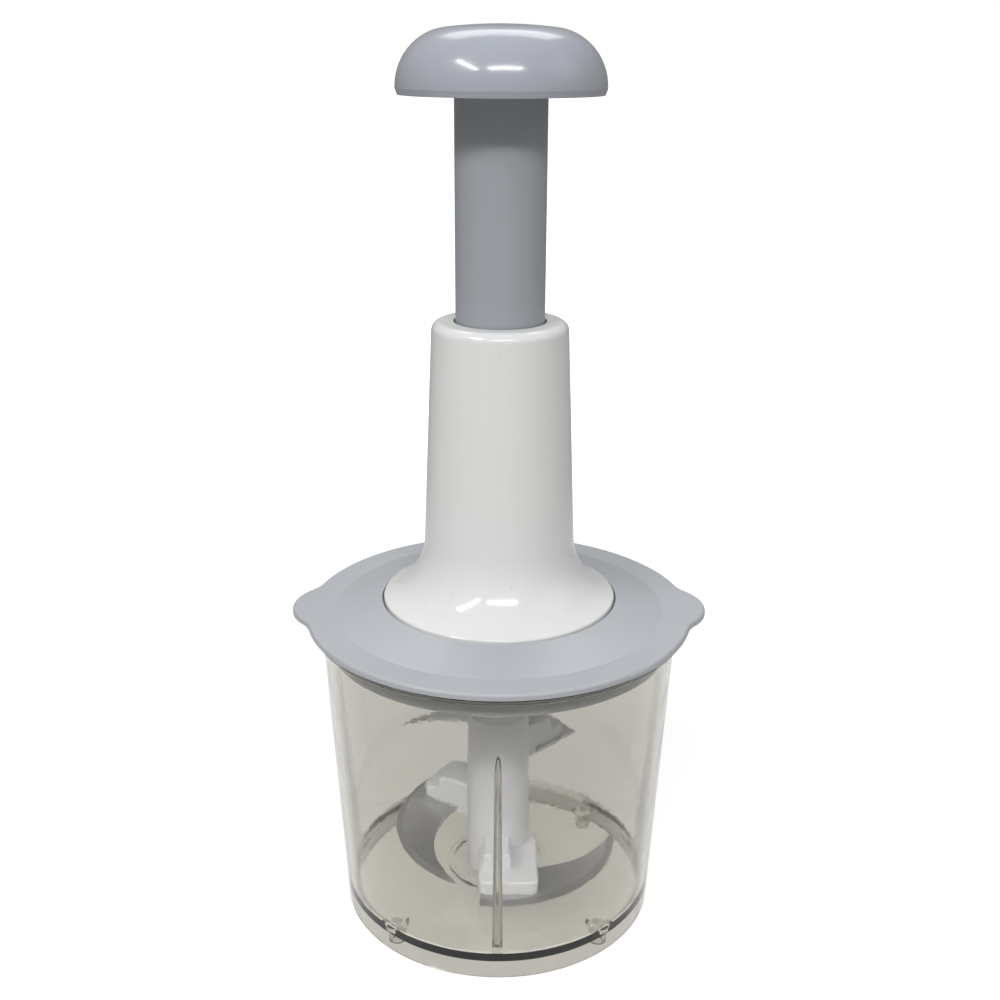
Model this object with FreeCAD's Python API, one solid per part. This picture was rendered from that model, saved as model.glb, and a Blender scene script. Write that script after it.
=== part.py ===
"""Plunger food chopper: a clear bowl, a grey lid with a white bell, and a palm knob on a sliding tube.

Pressing the knob drives a nut down a spiral spindle. The spindle turns the column of three sickle
blades in the bowl, and a spring inside the tube brings the knob back up.

Frame: millimetres, +Z up, origin at the centre of the ring that the bowl stands on. The front, where
the lowest blade's holder points, looks along -Y, and the two ears of the lid lie on the X axis.
"""

import FreeCAD, Part
import math
import os

from FreeCAD import Vector

# Bowl
bowl_base_r = 58.7
bowl_draft_deg = 3.05
bowl_wall = 2.5
bowl_h = 117.2
bowl_floor_z = 9.5
bowl_floor_t = 2.5
bowl_rim_lip = 3.5
bowl_rim_t = 2.9
bowl_corner_r = 2.0
rib_count = 4
rib_w = 3.6
rib_depth = 2.3
rib_top_drop = 22.8
ridge_r = 18.5
ridge_w = 1.8
ridge_h = 1.0
post_count = 4
post_pitch_r = 51.4
post_r = 3.1
post_bore_r = 1.8
post_flare = 1.3
post_foot_gap = 0.6
hub_r = 5.6
hub_h = 4.0

# Steel pin that the blade column turns on
pin_r = 3.0
pin_h = 21.0
pin_sunk = 4.2
pin_nose = 1.0

# Blade column
column_foot_gap = 1.6
column_foot_r = 12.2
column_top_r = 11.7
column_shoulder_rise = 62.5
column_shoulder_h = 6.0
column_shoulder_step_h = 3.6
column_shoulder_step_w = 0.65
column_neck_r = 9.2
column_neck_gap = 0.6
column_bush_wall = 1.8
column_neck_edge = 1.0
fit_gap = 0.3
running_gap = 0.05
cut_over = 1.0
hair = 0.01

# Sickle blades, each drawn with its holder pointing along its own X axis
blade_t = 1.2
blade_outer_r = 46.3
blade_outer_x = -8.5
blade_inner_r = 37.0
blade_inner_x = -21.3
blade_inner_y = 10.7
blade_root_gap = 3.3
blade_heel_y = 6.5
blade_tip_r = 46.8
bevel_w = 2.4
bevel_edge_t = 0.3
lower_blade_rise = 7.0
middle_blade_rise = 21.8
upper_blade_rise = 46.0
lower_blade_deg = -90.0
middle_blade_deg = 150.0
upper_blade_deg = 44.0

# White holders that grip the roots of the blades
holder_reach = 32.0
holder_w = 22.4
holder_above = 5.6
holder_below = 2.0
holder_round_r = 3.0
holder_edge_r = 1.0
holder_step_reach = 23.5
holder_step_w = 11.0
holder_step_h = 6.0
lower_holder_shift = 3.9
middle_holder_shift = -6.0
upper_holder_shift = 6.0
tongue_w = 9.0
tongue_depth = 4.0

# Lid
lid_overhang = 1.55
lid_t = 2.2
lid_edge_r = 1.1
ear_r = 20.0
ear_proud = 5.7
ear_blend_r = 14.0
crown_r = 59.5
crown_rise = 4.3
well_gap = 0.7
well_depth = 2.5
well_floor_t = 2.0
well_bore_r = 26.0
well_step_w = 1.0
plug_gap = 1.0
plug_t = 2.2
plug_h = 10.0
seal_h = 3.0
seal_depth = 1.2
seal_from_top = 3.0

# White bell
bell_foot_r = 42.0
bell_lip_h = 0.5
bell_foot_round_r = 0.8
bell_flare_r = 25.0
bell_waist_r = 26.75
bell_shoulder_r = 23.6
bell_collar_round_r = 3.4
bell_wall = 2.2
bell_mouth_gap = 0.75
mouth_t = 3.3
sleeve_wall = 2.0
sleeve_h = 20.0
bush_wall = 2.6
bush_h = 23.7
guide_gap = 0.1
key_count = 2
key_w = 4.0
key_bite = 1.2

# Base plate under the bell, with the spindle's bearing
base_gap = 0.3
base_t = 2.5
base_hub_wall = 4.05
base_hub_drop = 15.5
stop_ring_inset = 0.4
stop_ring_wall = 5.0
stop_ring_h = 3.7
screw_count = 4
screw_pitch_r = 33.0
screw_r = 1.5
screw_head_r = 2.9
screw_head_h = 1.9
screw_bite = 6.0
screw_spare = 0.5
screw_post_r = 3.4

# Spindle
lead = 44.0
spiral_w = 12.4
spiral_t = 4.6
nut_clearance = 0.3
journal_r = 5.0
collar_inset = 0.5
spindle_collar_h = 1.4
bearing_wall = 2.4
bearing_flange_w = 4.5
bearing_flange_h = 1.0
washer_t = 0.8
washer_inset = 0.5
axial_gap = 0.1
clip_t = 1.0
clip_w = 3.2
clip_mouth_w = 5.9
clip_groove_depth = 0.8
spindle_square = 6.4
spindle_square_h = 14.0
spindle_head_r = 3.4
spindle_head_h = 5.0
spindle_spare = 4.0

# Drive dog at the foot of the spindle
dog_flats = 10.4
dog_shoulder_r = 8.0
dog_shoulder_h = 3.4
dog_reach = 20.8
dog_point_h = 2.0
dog_point_inset = 0.4
dog_gap = 0.2
dog_screw_r = 1.5
dog_screw_head_r = 2.8
dog_screw_head_h = 1.8
dog_screw_bite = 7.0

# Plunger
tube_r = 15.25
tube_wall = 2.2
stroke = 66.0
flange_w = 5.15
flange_t = 4.0
nut_h = 13.5
nut_pin_r = 1.2
nut_pin_count = 3
nut_pin_z = 6.5
nut_pin_sunk = 0.3
tube_cap_t = 3.0
knob_r = 34.2
knob_h = 21.5
knob_wall = 2.2
knob_spare = 7.2
knob_rim_h = 2.0
knob_lip_inset = 0.8
knob_side_deg = 1.0
knob_shoulder_r = 18.4
knob_crown_r = 150.0
knob_plate_t = 2.0
knob_collar_wall = 2.8
knob_collar_h = 5.0
knob_post_r = 6.5
knob_screw_r = 2.0
knob_screw_head_r = 4.0
knob_screw_head_h = 2.4
knob_screw_bite = 9.0

# Return spring and its cap
spring_inset = 1.7
spring_wire_r = 0.7
spring_turns = 9
spring_sides = 6
spring_steps = 12
cap_gap = 2.05
cap_t = 1.6
cap_rim_h = 2.0
cap_rim_t = 0.9

# Heights and radii that follow from the sizes above
draft = math.tan(math.radians(bowl_draft_deg))
bowl_rim_r = bowl_base_r + draft * bowl_h + bowl_rim_lip
floor_under_z = bowl_floor_z - bowl_floor_t
rib_top_z = bowl_h - rib_top_drop
hub_top_z = bowl_floor_z + hub_h
column_foot_z = bowl_floor_z + column_foot_gap
column_shoulder_z = bowl_floor_z + column_shoulder_rise
pin_top_z = hub_top_z + pin_h
lower_blade_z = bowl_floor_z + lower_blade_rise
middle_blade_z = bowl_floor_z + middle_blade_rise
upper_blade_z = bowl_floor_z + upper_blade_rise
blade_root_r = column_foot_r + blade_root_gap
lid_under_z = bowl_h + fit_gap
lid_top_z = lid_under_z + lid_t
lid_r = bowl_rim_r + lid_overhang
ear_reach = lid_r + ear_proud
well_r = bell_foot_r + well_gap
crown_top_z = lid_top_z + crown_rise
well_floor_z = crown_top_z - well_depth
well_under_z = well_floor_z - well_floor_t
bell_lip_z = crown_top_z + bell_lip_h
base_top_z = well_floor_z + base_t
stop_z = base_top_z + stop_ring_h
hub_bottom_z = well_floor_z - base_hub_drop
bearing_r = journal_r + running_gap + bearing_wall
base_hub_r = bearing_r + base_hub_wall
bearing_flange_r = journal_r + bearing_flange_w
bearing_top_z = base_top_z + bearing_flange_h
washer_r = bearing_flange_r - washer_inset
washer_z = bearing_top_z + axial_gap
spindle_collar_r = washer_r - collar_inset
spindle_collar_z = washer_z + washer_t
spindle_collar_top_z = spindle_collar_z + spindle_collar_h
clip_r = journal_r + clip_w
clip_z = hub_bottom_z - axial_gap - clip_t
dog_top_z = clip_z - axial_gap
dog_shoulder_z = dog_top_z - dog_shoulder_h
spindle_foot_z = dog_top_z - spindle_square_h
column_neck_top_z = dog_shoulder_z - column_neck_gap
dog_bottom_z = column_neck_top_z - dog_reach
tube_bore_r = tube_r - tube_wall
flange_r = tube_r + flange_w
flange_bottom_z = stop_z + fit_gap + stroke
flange_top_z = flange_bottom_z + flange_t
key_tip_r = flange_r - key_bite
stop_ring_r = flange_r - stop_ring_inset
nut_bottom_z = max(flange_bottom_z, spindle_collar_top_z + fit_gap + stroke)
nut_top_z = nut_bottom_z + nut_h
guide_bottom_z = flange_top_z + fit_gap
guide_r = tube_r + guide_gap
bell_top_z = guide_bottom_z + bush_h + mouth_t
spiral_top_z = nut_top_z + spindle_spare
head_top_z = spiral_top_z + spindle_head_h
cap_z = spiral_top_z + axial_gap
cap_r = tube_bore_r - cap_gap
spring_mean_r = cap_r - spring_inset
knob_bottom_z = bell_top_z + stroke + knob_spare
knob_top_z = knob_bottom_z + knob_h
tube_top_z = knob_bottom_z + knob_plate_t + knob_collar_h / 2
tube_web_z = tube_top_z - tube_cap_t
plug_r = bowl_base_r + draft * (bowl_h - plug_h) - bowl_wall - plug_gap
seal_z = lid_under_z - seal_from_top - seal_h


def bowl_outer_r(z):
    """Outer radius of the bowl's wall at a height."""
    return bowl_base_r + draft * z


def bowl_inner_r(z):
    """Inner radius of the bowl's wall at a height."""
    return bowl_outer_r(z) - bowl_wall


def column_r(z):
    """Radius of the blade column at a height below its shoulder."""
    share = (z - column_foot_z) / (column_shoulder_z - column_foot_z)
    return column_foot_r + (column_top_r - column_foot_r) * share


def cylinder(r, z0, z1, x=0.0, y=0.0):
    """Solid cylinder about a vertical axis between two heights."""
    return Part.makeCylinder(r, z1 - z0, Vector(x, y, z0))


def tube(r_out, r_in, z0, z1):
    """Hollow cylinder about the main axis."""
    return cylinder(r_out, z0, z1).cut(cylinder(r_in, z0 - cut_over, z1 + cut_over))


def cone(r0, r1, z0, z1, x=0.0, y=0.0):
    """Solid cone frustum about a vertical axis."""
    return Part.makeCone(r0, r1, z1 - z0, Vector(x, y, z0))


def line(a, b):
    """Straight edge between two (radius, height) points."""
    return Part.LineSegment(Vector(a[0], 0, a[1]), Vector(b[0], 0, b[1])).toShape()


def bend(a, via, b):
    """Arc edge through three (radius, height) points."""
    return Part.Arc(Vector(a[0], 0, a[1]), Vector(via[0], 0, via[1]), Vector(b[0], 0, b[1])).toShape()


def chords(a, via, b):
    """Two straight edges through three (radius, height) points, where no one sees the arc."""
    return [line(a, via), line(via, b)]


def revolve_edges(edges):
    """Full turn of a closed half section about the main axis."""
    face = Part.Face(Part.Wire(edges))
    return face.revolve(Vector(0, 0, 0), Vector(0, 0, 1), 360)


def revolve(points):
    """Full turn of a closed half section given by its corners."""
    closed = list(points) + [points[0]]
    return revolve_edges([line(a, b) for a, b in zip(closed, closed[1:])])


def box(x0, x1, y0, y1, z0, z1):
    """Block between two corners."""
    return Part.makeBox(x1 - x0, y1 - y0, z1 - z0, Vector(x0, y0, z0))


def turned(shape, degrees):
    """Copy of a shape turned about the main axis."""
    copy = shape.copy()
    copy.rotate(Vector(0, 0, 0), Vector(0, 0, 1), degrees)
    return copy


def ring_of(shape, count, start_deg=0.0):
    """Evenly spaced copies of a shape round the main axis."""
    return [turned(shape, start_deg + 360.0 * i / count) for i in range(count)]


def prism(flats, z0, z1):
    """Hexagonal bar across its flats, about the main axis."""
    corner_r = flats / math.sqrt(3.0)
    corners = [
        Vector(corner_r * math.cos(math.pi * i / 3), corner_r * math.sin(math.pi * i / 3), z0)
        for i in range(6)
    ]
    face = Part.Face(Part.makePolygon(corners + [corners[0]]))
    return face.extrude(Vector(0, 0, z1 - z0))


def joined(shapes):
    """One solid from several that meet."""
    body = shapes[0].multiFuse(shapes[1:])
    return body.removeSplitter()


def rib_wedge():
    """Wall rib that grows from nothing at its top to its full depth at the floor."""
    into_wall = bowl_wall / 2
    foot_r = bowl_inner_r(bowl_floor_z)
    top_r = bowl_inner_r(rib_top_z)
    corners = [
        Vector(foot_r + into_wall, -rib_w / 2, bowl_floor_z - bowl_floor_t / 2),
        Vector(foot_r - rib_depth, -rib_w / 2, bowl_floor_z - bowl_floor_t / 2),
        Vector(foot_r - rib_depth, -rib_w / 2, bowl_floor_z),
        Vector(top_r, -rib_w / 2, rib_top_z),
        Vector(top_r + into_wall, -rib_w / 2, rib_top_z),
    ]
    face = Part.Face(Part.makePolygon(corners + [corners[0]]))
    return face.extrude(Vector(0, rib_w, 0))


def foot_post():
    """Hollow post under the floor, flared where it meets the floor."""
    x = post_pitch_r
    stem = cylinder(post_r, post_foot_gap, floor_under_z + bowl_floor_t / 2, x)
    flare = cone(post_r, post_r + post_flare, floor_under_z - post_flare, floor_under_z, x)
    return joined([stem, flare])


def make_bowl():
    """Clear bowl with its raised floor, skirt, wall ribs, ridge, hub and foot posts."""
    rim_under_z = bowl_h - bowl_rim_t
    bead = bowl_rim_t / 3
    corner = bowl_corner_r
    shell = revolve(
        [
            (bowl_inner_r(0), 0),
            (bowl_base_r - bead, 0),
            (bowl_outer_r(bead), bead),
            (bowl_outer_r(rim_under_z), rim_under_z),
            (bowl_rim_r - bead, rim_under_z),
            (bowl_rim_r, rim_under_z + bead),
            (bowl_rim_r, bowl_h - bead),
            (bowl_rim_r - bead, bowl_h),
            (bowl_inner_r(bowl_h), bowl_h),
            (bowl_inner_r(bowl_floor_z + corner), bowl_floor_z + corner),
            (bowl_inner_r(bowl_floor_z) - corner, bowl_floor_z),
            (0, bowl_floor_z),
            (0, floor_under_z),
            (bowl_inner_r(floor_under_z), floor_under_z),
        ]
    )
    mid_floor_z = bowl_floor_z - bowl_floor_t / 2
    ridge = tube(ridge_r + ridge_w / 2, ridge_r - ridge_w / 2, mid_floor_z, bowl_floor_z + ridge_h)
    hub = cylinder(hub_r, mid_floor_z, hub_top_z)
    under_hub = cylinder(hub_r + bowl_floor_t / 2, floor_under_z - bowl_floor_t, mid_floor_z)
    ribs = ring_of(rib_wedge(), rib_count)
    posts = ring_of(foot_post(), post_count, 45.0)
    body = joined([shell, ridge, hub, under_hub] + ribs + posts)
    bore_top_z = floor_under_z + bowl_floor_t / 4
    bores = ring_of(cylinder(post_bore_r, 0, bore_top_z, post_pitch_r), post_count, 45.0)
    pin_hole = cylinder(pin_r, hub_top_z - hub_h - pin_sunk, hub_top_z + cut_over)
    return body.cut(Part.makeCompound(bores + [pin_hole]))


def make_pivot_pin():
    """Steel pin pressed into the hub of the bowl's floor."""
    foot_z = hub_top_z - hub_h - pin_sunk
    return revolve(
        [
            (0, foot_z),
            (pin_r, foot_z),
            (pin_r, pin_top_z - pin_nose),
            (pin_r - pin_nose, pin_top_z),
            (0, pin_top_z),
        ]
    )


def holder_places():
    """Height, direction and sideways shift of each blade's holder, from the lowest up."""
    heights = (lower_blade_z, middle_blade_z, upper_blade_z)
    shifts = (lower_holder_shift, middle_holder_shift, upper_holder_shift)
    turns = (lower_blade_deg, middle_blade_deg, upper_blade_deg)
    return list(zip(heights, turns, shifts))


def tongue(z):
    """Block of a holder that goes into the column's side pocket."""
    z0 = z - holder_below
    z1 = z + holder_above
    return box(column_r(z) - tongue_depth, column_r(z) + cut_over, -tongue_w / 2, tongue_w / 2, z0, z1)


def make_blade_column():
    """White column with a socket for the drive dog above and for the bush and pin below."""
    shoulder_top_z = column_shoulder_z + column_shoulder_h
    step = (column_top_r - column_shoulder_step_w, column_shoulder_z + column_shoulder_step_h)
    edge = column_neck_edge
    bush_r = pin_r + running_gap + column_bush_wall
    bush_top_z = pin_top_z + axial_gap
    body = revolve(
        [
            (0, column_foot_z),
            (column_foot_r, column_foot_z),
            (column_top_r, column_shoulder_z),
            step,
            (column_neck_r, shoulder_top_z),
            (column_neck_r, column_neck_top_z - edge),
            (column_neck_r - edge, column_neck_top_z),
            (0, column_neck_top_z),
        ]
    )
    hub_recess = cylinder(hub_r + fit_gap, column_foot_z - cut_over, hub_top_z + fit_gap)
    bush_hole = cylinder(bush_r, column_foot_z - cut_over, bush_top_z)
    socket = prism(dog_flats + 2 * dog_gap, dog_bottom_z - fit_gap, column_neck_top_z + cut_over)
    pockets = [turned(tongue(z), deg) for z, deg, shift in holder_places()]
    return body.cut(Part.makeCompound([hub_recess])).cut(Part.makeCompound([bush_hole, socket] + pockets))


def make_column_bush():
    """Bush in the foot of the column that runs on the pin."""
    r_in = pin_r + running_gap
    return tube(r_in + column_bush_wall, r_in, hub_top_z + fit_gap, pin_top_z + axial_gap)


def blade_plan(z):
    """Sickle outline between two arcs, with a straight root and heel, as a face at a height."""
    outer = cylinder(blade_outer_r, z, z + blade_t, blade_outer_x)
    inner = cylinder(blade_inner_r, z - cut_over, z + blade_t + cut_over, blade_inner_x, blade_inner_y)
    root_side = box(blade_root_r, 2 * blade_outer_r, -blade_heel_y, 2 * blade_outer_r, z, z + blade_t)
    reach_y = math.sqrt(blade_inner_r ** 2 - (blade_root_r - blade_inner_x) ** 2) + blade_inner_y
    past_root_r = blade_root_r + cut_over
    sweep = box(-blade_outer_r, past_root_r, reach_y - cut_over, 2 * blade_outer_r, z, z + blade_t)
    return outer.common(joined([root_side, sweep])).cut(inner)


def make_blade(z):
    """Flat sickle blade with a bevel ground on top along its outer edge and a blunted tip."""
    z0 = z - blade_t / 2
    z1 = z + blade_t / 2
    plan = blade_plan(z0)
    edge_z = z0 + bevel_edge_t
    rim = blade_outer_r
    cutter = revolve(
        [
            (rim - bevel_w, z1),
            (rim + cut_over, edge_z - cut_over * (z1 - edge_z) / bevel_w),
            (rim + cut_over, z1 + cut_over),
            (rim - bevel_w, z1 + cut_over),
        ]
    )
    cutter.translate(Vector(blade_outer_x, 0, 0))
    tip_circle = cylinder(blade_tip_r, z0 - cut_over, z1 + cut_over)
    return plan.cut(cutter).common(tip_circle)


def make_holder(z, shift):
    """Moulded block with a step by the column, which grips a blade's root and plugs in with a tongue."""
    z0 = z - holder_below
    z1 = z + holder_above
    y0 = shift - holder_w / 2
    y1 = shift + holder_w / 2
    block = box(0, holder_reach, y0, y1, z0, z1)
    uprights = [edge for edge in block.Edges if is_upright(edge) and edge.BoundBox.XMin > holder_reach / 2]
    block = block.makeFillet(holder_round_r, uprights)
    upper = [edge for edge in block.Edges if edge.BoundBox.ZMin > z1 - hair]
    tops = [edge for edge in upper if edge.BoundBox.XMax > holder_reach / 2]
    block = block.makeFillet(holder_edge_r, tops)
    step_w = holder_step_w / 2
    step = box(0, holder_step_reach, -step_w, step_w, z1 - cut_over, z1 + holder_step_h)
    step_tops = [edge for edge in step.Edges if edge.BoundBox.ZMin > z1 + holder_step_h - hair]
    block = block.fuse(step.makeFillet(holder_edge_r, [e for e in step_tops if e.BoundBox.XMax > hair]))
    around = cone(column_foot_r, column_top_r, column_foot_z, column_shoulder_z)
    plug = tongue(z).common(cylinder(column_foot_r + cut_over, z0, z1))
    return block.cut(around).fuse(plug).removeSplitter()


def is_upright(edge):
    """Whether an edge runs straight up."""
    span = edge.BoundBox
    return span.ZLength > hair and span.XLength < hair and span.YLength < hair


def make_blade_sets():
    """Holders and blades in their places, each holder cut to its blade's root."""
    names = ("lower", "middle", "upper")
    made = {}
    for name, (z, degrees, shift) in zip(names, holder_places()):
        blade = make_blade(z)
        holder = make_holder(z, shift).cut(blade)
        made[name + "_blade"] = turned(blade, degrees)
        made[name + "_holder"] = turned(holder, degrees)
    return made


def mirrored(point, sign_x, sign_y):
    """A point with its x and y kept or reversed."""
    return Vector(sign_x * point.x, sign_y * point.y, point.z)


def arc(points, sign_x, sign_y):
    """Arc edge through three points, in the quarter of the plan that the signs name."""
    return Part.Arc(*[mirrored(point, sign_x, sign_y) for point in points]).toShape()


def lid_outline():
    """Plan of the lid: a disc with two round ears blended into it, as a face."""
    ear_x = ear_reach - ear_r
    far = lid_r + ear_blend_r
    near = ear_r + ear_blend_r
    reach = (far ** 2 - near ** 2 + ear_x ** 2) / (2 * ear_x)
    side = math.sqrt(far ** 2 - reach ** 2)
    blend = Vector(reach, side, lid_under_z)
    ear_centre = Vector(ear_x, 0, lid_under_z)
    on_rim = Vector(reach * lid_r / far, side * lid_r / far, lid_under_z)
    on_ear = ear_centre + (blend - ear_centre) * (ear_r / near)
    toward = (on_rim + on_ear) * 0.5 - blend
    middle = blend + toward * (ear_blend_r / toward.Length)
    over_rim = (on_rim, Vector(0, lid_r, lid_under_z), mirrored(on_rim, -1, 1))
    round_ear = (on_ear, Vector(ear_reach, 0, lid_under_z), mirrored(on_ear, 1, -1))
    edges = [arc(over_rim, 1, sign) for sign in (1, -1)]
    edges += [arc(round_ear, sign, 1) for sign in (1, -1)]
    edges += [arc((on_rim, middle, on_ear), x, y) for x in (1, -1) for y in (1, -1)]
    return Part.Face(Part.Wire(Part.__sortEdges__(edges)))


def make_lid_ring():
    """Grey lid: flat band with ears, raised crown, well for the bell and plug ring with its groove."""
    plate = lid_outline().extrude(Vector(0, 0, lid_t))
    rims = [edge for edge in plate.Edges if edge.BoundBox.ZMin > lid_top_z - hair]
    plate = plate.makeFillet(lid_edge_r, rims)
    crown = revolve(
        [
            (well_bore_r, well_under_z),
            (crown_r, well_under_z),
            (crown_r, lid_top_z),
            (well_r, crown_top_z),
            (well_r, well_floor_z),
            (well_bore_r, well_floor_z),
        ]
    )
    plug_foot_z = lid_under_z - plug_h
    plug = tube(plug_r, plug_r - plug_t, plug_foot_z, lid_under_z + lid_t / 2)
    groove = tube(plug_r + cut_over, plug_r - seal_depth, seal_z, seal_z + seal_h)
    opening = cylinder(well_r - well_step_w, lid_under_z - cut_over, well_under_z)
    screw_holes = ring_of(
        cylinder(screw_r + running_gap, lid_under_z, base_top_z, screw_pitch_r), screw_count, 45.0
    )
    hole = cylinder(well_bore_r, lid_under_z - cut_over, crown_top_z + cut_over)
    well = cylinder(well_r, well_floor_z, crown_top_z + cut_over)
    body = joined([plate, crown, plug]).cut(groove).cut(hole).cut(well).cut(opening)
    return body.cut(Part.makeCompound(screw_holes))


def make_lid_seal():
    """Soft ring in the groove of the plug, just clear of the bowl's wall."""
    seal_r = bowl_inner_r(seal_z) - fit_gap
    edge = seal_h / 4
    return revolve(
        [
            (plug_r - seal_depth, seal_z),
            (seal_r - edge, seal_z),
            (seal_r, seal_z + edge),
            (seal_r, seal_z + seal_h - edge),
            (seal_r - edge, seal_z + seal_h),
            (plug_r - seal_depth, seal_z + seal_h),
        ]
    )


def bell_flare():
    """Lean of the bell's body, centre of its flare's curve and the slope where the foot's round starts."""
    lean = math.atan((bell_waist_r - bell_shoulder_r) / (bell_top_z - bell_lip_z))
    centre_r = bell_waist_r + bell_flare_r * math.cos(lean)
    reach = bell_flare_r + bell_foot_round_r
    slope = math.acos((centre_r - bell_foot_r + bell_foot_round_r) / reach)
    return lean, centre_r, bell_lip_z + reach * math.sin(slope), slope


def bell_hollow_r(z):
    """Radius of the bell's hollow at a height in its flare."""
    _, centre_r, centre_z, _ = bell_flare()
    hollow_r = centre_r - math.sqrt((bell_flare_r + bell_wall) ** 2 - (centre_z - z) ** 2)
    return min(bell_foot_r - bell_wall, hollow_r)


def bell_section(inset, foot_z):
    """Half section of the bell down to a height: its outside, or its hollow drawn inward by a wall."""
    lean, centre_r, centre_z, slope = bell_flare()
    turn = chords if inset else lambda a, via, b: [bend(a, via, b)]
    foot_r = bell_foot_r - inset
    top_z = bell_top_z - inset
    round_r = bell_foot_round_r
    flare_r = bell_flare_r + inset

    def on_flare(angle):
        return (centre_r - flare_r * math.cos(angle), centre_z - flare_r * math.sin(angle))

    if inset:
        slope = math.acos((centre_r - foot_r) / flare_r)
        lip = on_flare(slope)
        rounding = []
    else:
        lip = (foot_r, bell_lip_z)
        half = slope / 2
        round_via = (foot_r - round_r * (1 - math.cos(half)), bell_lip_z + round_r * math.sin(half))
        rounding = turn(lip, round_via, on_flare(slope))
    waist = on_flare(lean)
    collar_r = bell_collar_round_r
    shoulder = (bell_shoulder_r - inset, top_z - collar_r)
    collar_top = (bell_shoulder_r - inset - collar_r, top_z)
    diagonal = collar_r * math.sqrt(0.5)
    collar_via = (shoulder[0] - collar_r + diagonal, shoulder[1] + diagonal)
    edges = [line((0, foot_z), (foot_r, foot_z)), line((foot_r, foot_z), lip)]
    edges += rounding
    edges += turn(on_flare(slope), on_flare((slope + lean) / 2), waist)
    edges.append(line(waist, shoulder))
    edges += turn(shoulder, collar_via, collar_top)
    edges += [line(collar_top, (0, top_z)), line((0, top_z), (0, foot_z))]
    return edges


def make_housing():
    """White bell: shell, mouth for the tube, sleeve for the guide bush, keys and screw posts."""
    outer = revolve_edges(bell_section(0.0, well_floor_z))
    inner = revolve_edges(bell_section(bell_wall, well_floor_z - cut_over))
    mouth_z = bell_top_z - mouth_t
    inner = inner.common(cylinder(bell_foot_r, well_floor_z - cut_over, mouth_z))
    shell = outer.cut(inner)
    bush_r = guide_r + bush_wall
    sleeve = tube(bush_r + sleeve_wall, bush_r, mouth_z - sleeve_h, mouth_z + mouth_t / 2)
    key_block = box(key_tip_r, bell_foot_r, -key_w / 2, key_w / 2, stop_z, guide_bottom_z)
    posts = [
        post.common(outer)
        for post in ring_of(cylinder(screw_post_r, base_top_z, bell_top_z, screw_pitch_r), screw_count, 45.0)
    ]
    keys = [key.common(outer) for key in ring_of(key_block, key_count)]
    body = joined([shell, sleeve] + keys + posts)
    mouth = cylinder(tube_r + bell_mouth_gap, mouth_z - cut_over, bell_top_z + cut_over)
    bush_hole = cylinder(bush_r, mouth_z - sleeve_h - cut_over, mouth_z)
    hole_top_z = base_top_z + screw_bite + screw_spare
    screw_holes = ring_of(
        cylinder(screw_r, well_floor_z - cut_over, hole_top_z, screw_pitch_r), screw_count, 45.0
    )
    return body.cut(Part.makeCompound([mouth])).cut(bush_hole).cut(Part.makeCompound(screw_holes))


def make_guide_bush():
    """Bush in the bell's sleeve that guides the tube and stops its flange."""
    top_z = bell_top_z - mouth_t
    return tube(guide_r + bush_wall, guide_r, guide_bottom_z, top_z)


def make_housing_base():
    """Plate under the bell with the bearing's hub, the ring that stops the flange and screw holes."""
    plate_r = bell_hollow_r(base_top_z) - base_gap
    plate = cylinder(plate_r, well_floor_z, base_top_z)
    hub = cylinder(base_hub_r, hub_bottom_z, base_top_z)
    stop_ring = tube(stop_ring_r, stop_ring_r - stop_ring_wall, base_top_z - base_t / 2, stop_z)
    body = joined([plate, hub, stop_ring])
    bore = cylinder(bearing_r, hub_bottom_z - cut_over, base_top_z + cut_over)
    hole_r = screw_r + running_gap
    screw_hole = cylinder(hole_r, well_floor_z - cut_over, base_top_z + cut_over, screw_pitch_r)
    screw_holes = ring_of(screw_hole, screw_count, 45.0)
    return body.cut(Part.makeCompound([bore] + screw_holes))


def make_base_screws():
    """Four screws from below through the lid and the base into the bell's posts."""
    head = cylinder(screw_head_r, well_under_z - screw_head_h, well_under_z, screw_pitch_r)
    shank = cylinder(screw_r, well_under_z - screw_head_h / 2, base_top_z + screw_bite, screw_pitch_r)
    return Part.makeCompound(ring_of(joined([head, shank]), screw_count, 45.0))


def make_spindle_bush():
    """Flanged bearing of the spindle in the base's hub."""
    r_in = journal_r + running_gap
    body = tube(bearing_r, r_in, hub_bottom_z, bearing_top_z)
    flange = tube(bearing_flange_r, r_in, base_top_z, bearing_top_z)
    return joined([body, flange])


def make_thrust_washer():
    """Steel washer between the spindle's collar and the bearing's flange."""
    return tube(washer_r, journal_r, washer_z, spindle_collar_z)


def bar_wire(growth, z):
    """Flat section of the spiral, grown all round by a clearance, turned as it is at a height."""
    half_w = spiral_w / 2 + growth
    half_t = spiral_t / 2 + growth
    corners = [Vector(x * half_w, y * half_t, z) for x, y in ((-1, -1), (1, -1), (1, 1), (-1, 1))]
    wire = Part.makePolygon(corners + [corners[0]])
    wire.rotate(Vector(0, 0, z), Vector(0, 0, 1), -360.0 * (z - spindle_collar_top_z) / lead)
    return wire


def spiral_bar(growth, z0, z1):
    """Twisted flat bar: its section turns once in each lead as it rises."""
    spine = Part.Wire([Part.LineSegment(Vector(0, 0, z0), Vector(0, 0, z1)).toShape()])
    helix = Part.makeHelix(lead, z1 - z0, spiral_w, 0, True)
    helix.translate(Vector(0, 0, z0))
    sweep = Part.BRepOffsetAPI.MakePipeShell(spine)
    sweep.setAuxiliarySpine(Part.Wire(helix.Edges), False, 0)
    sweep.add(bar_wire(growth, z0), False, False)
    sweep.build()
    sweep.makeSolid()
    return sweep.shape()


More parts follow.
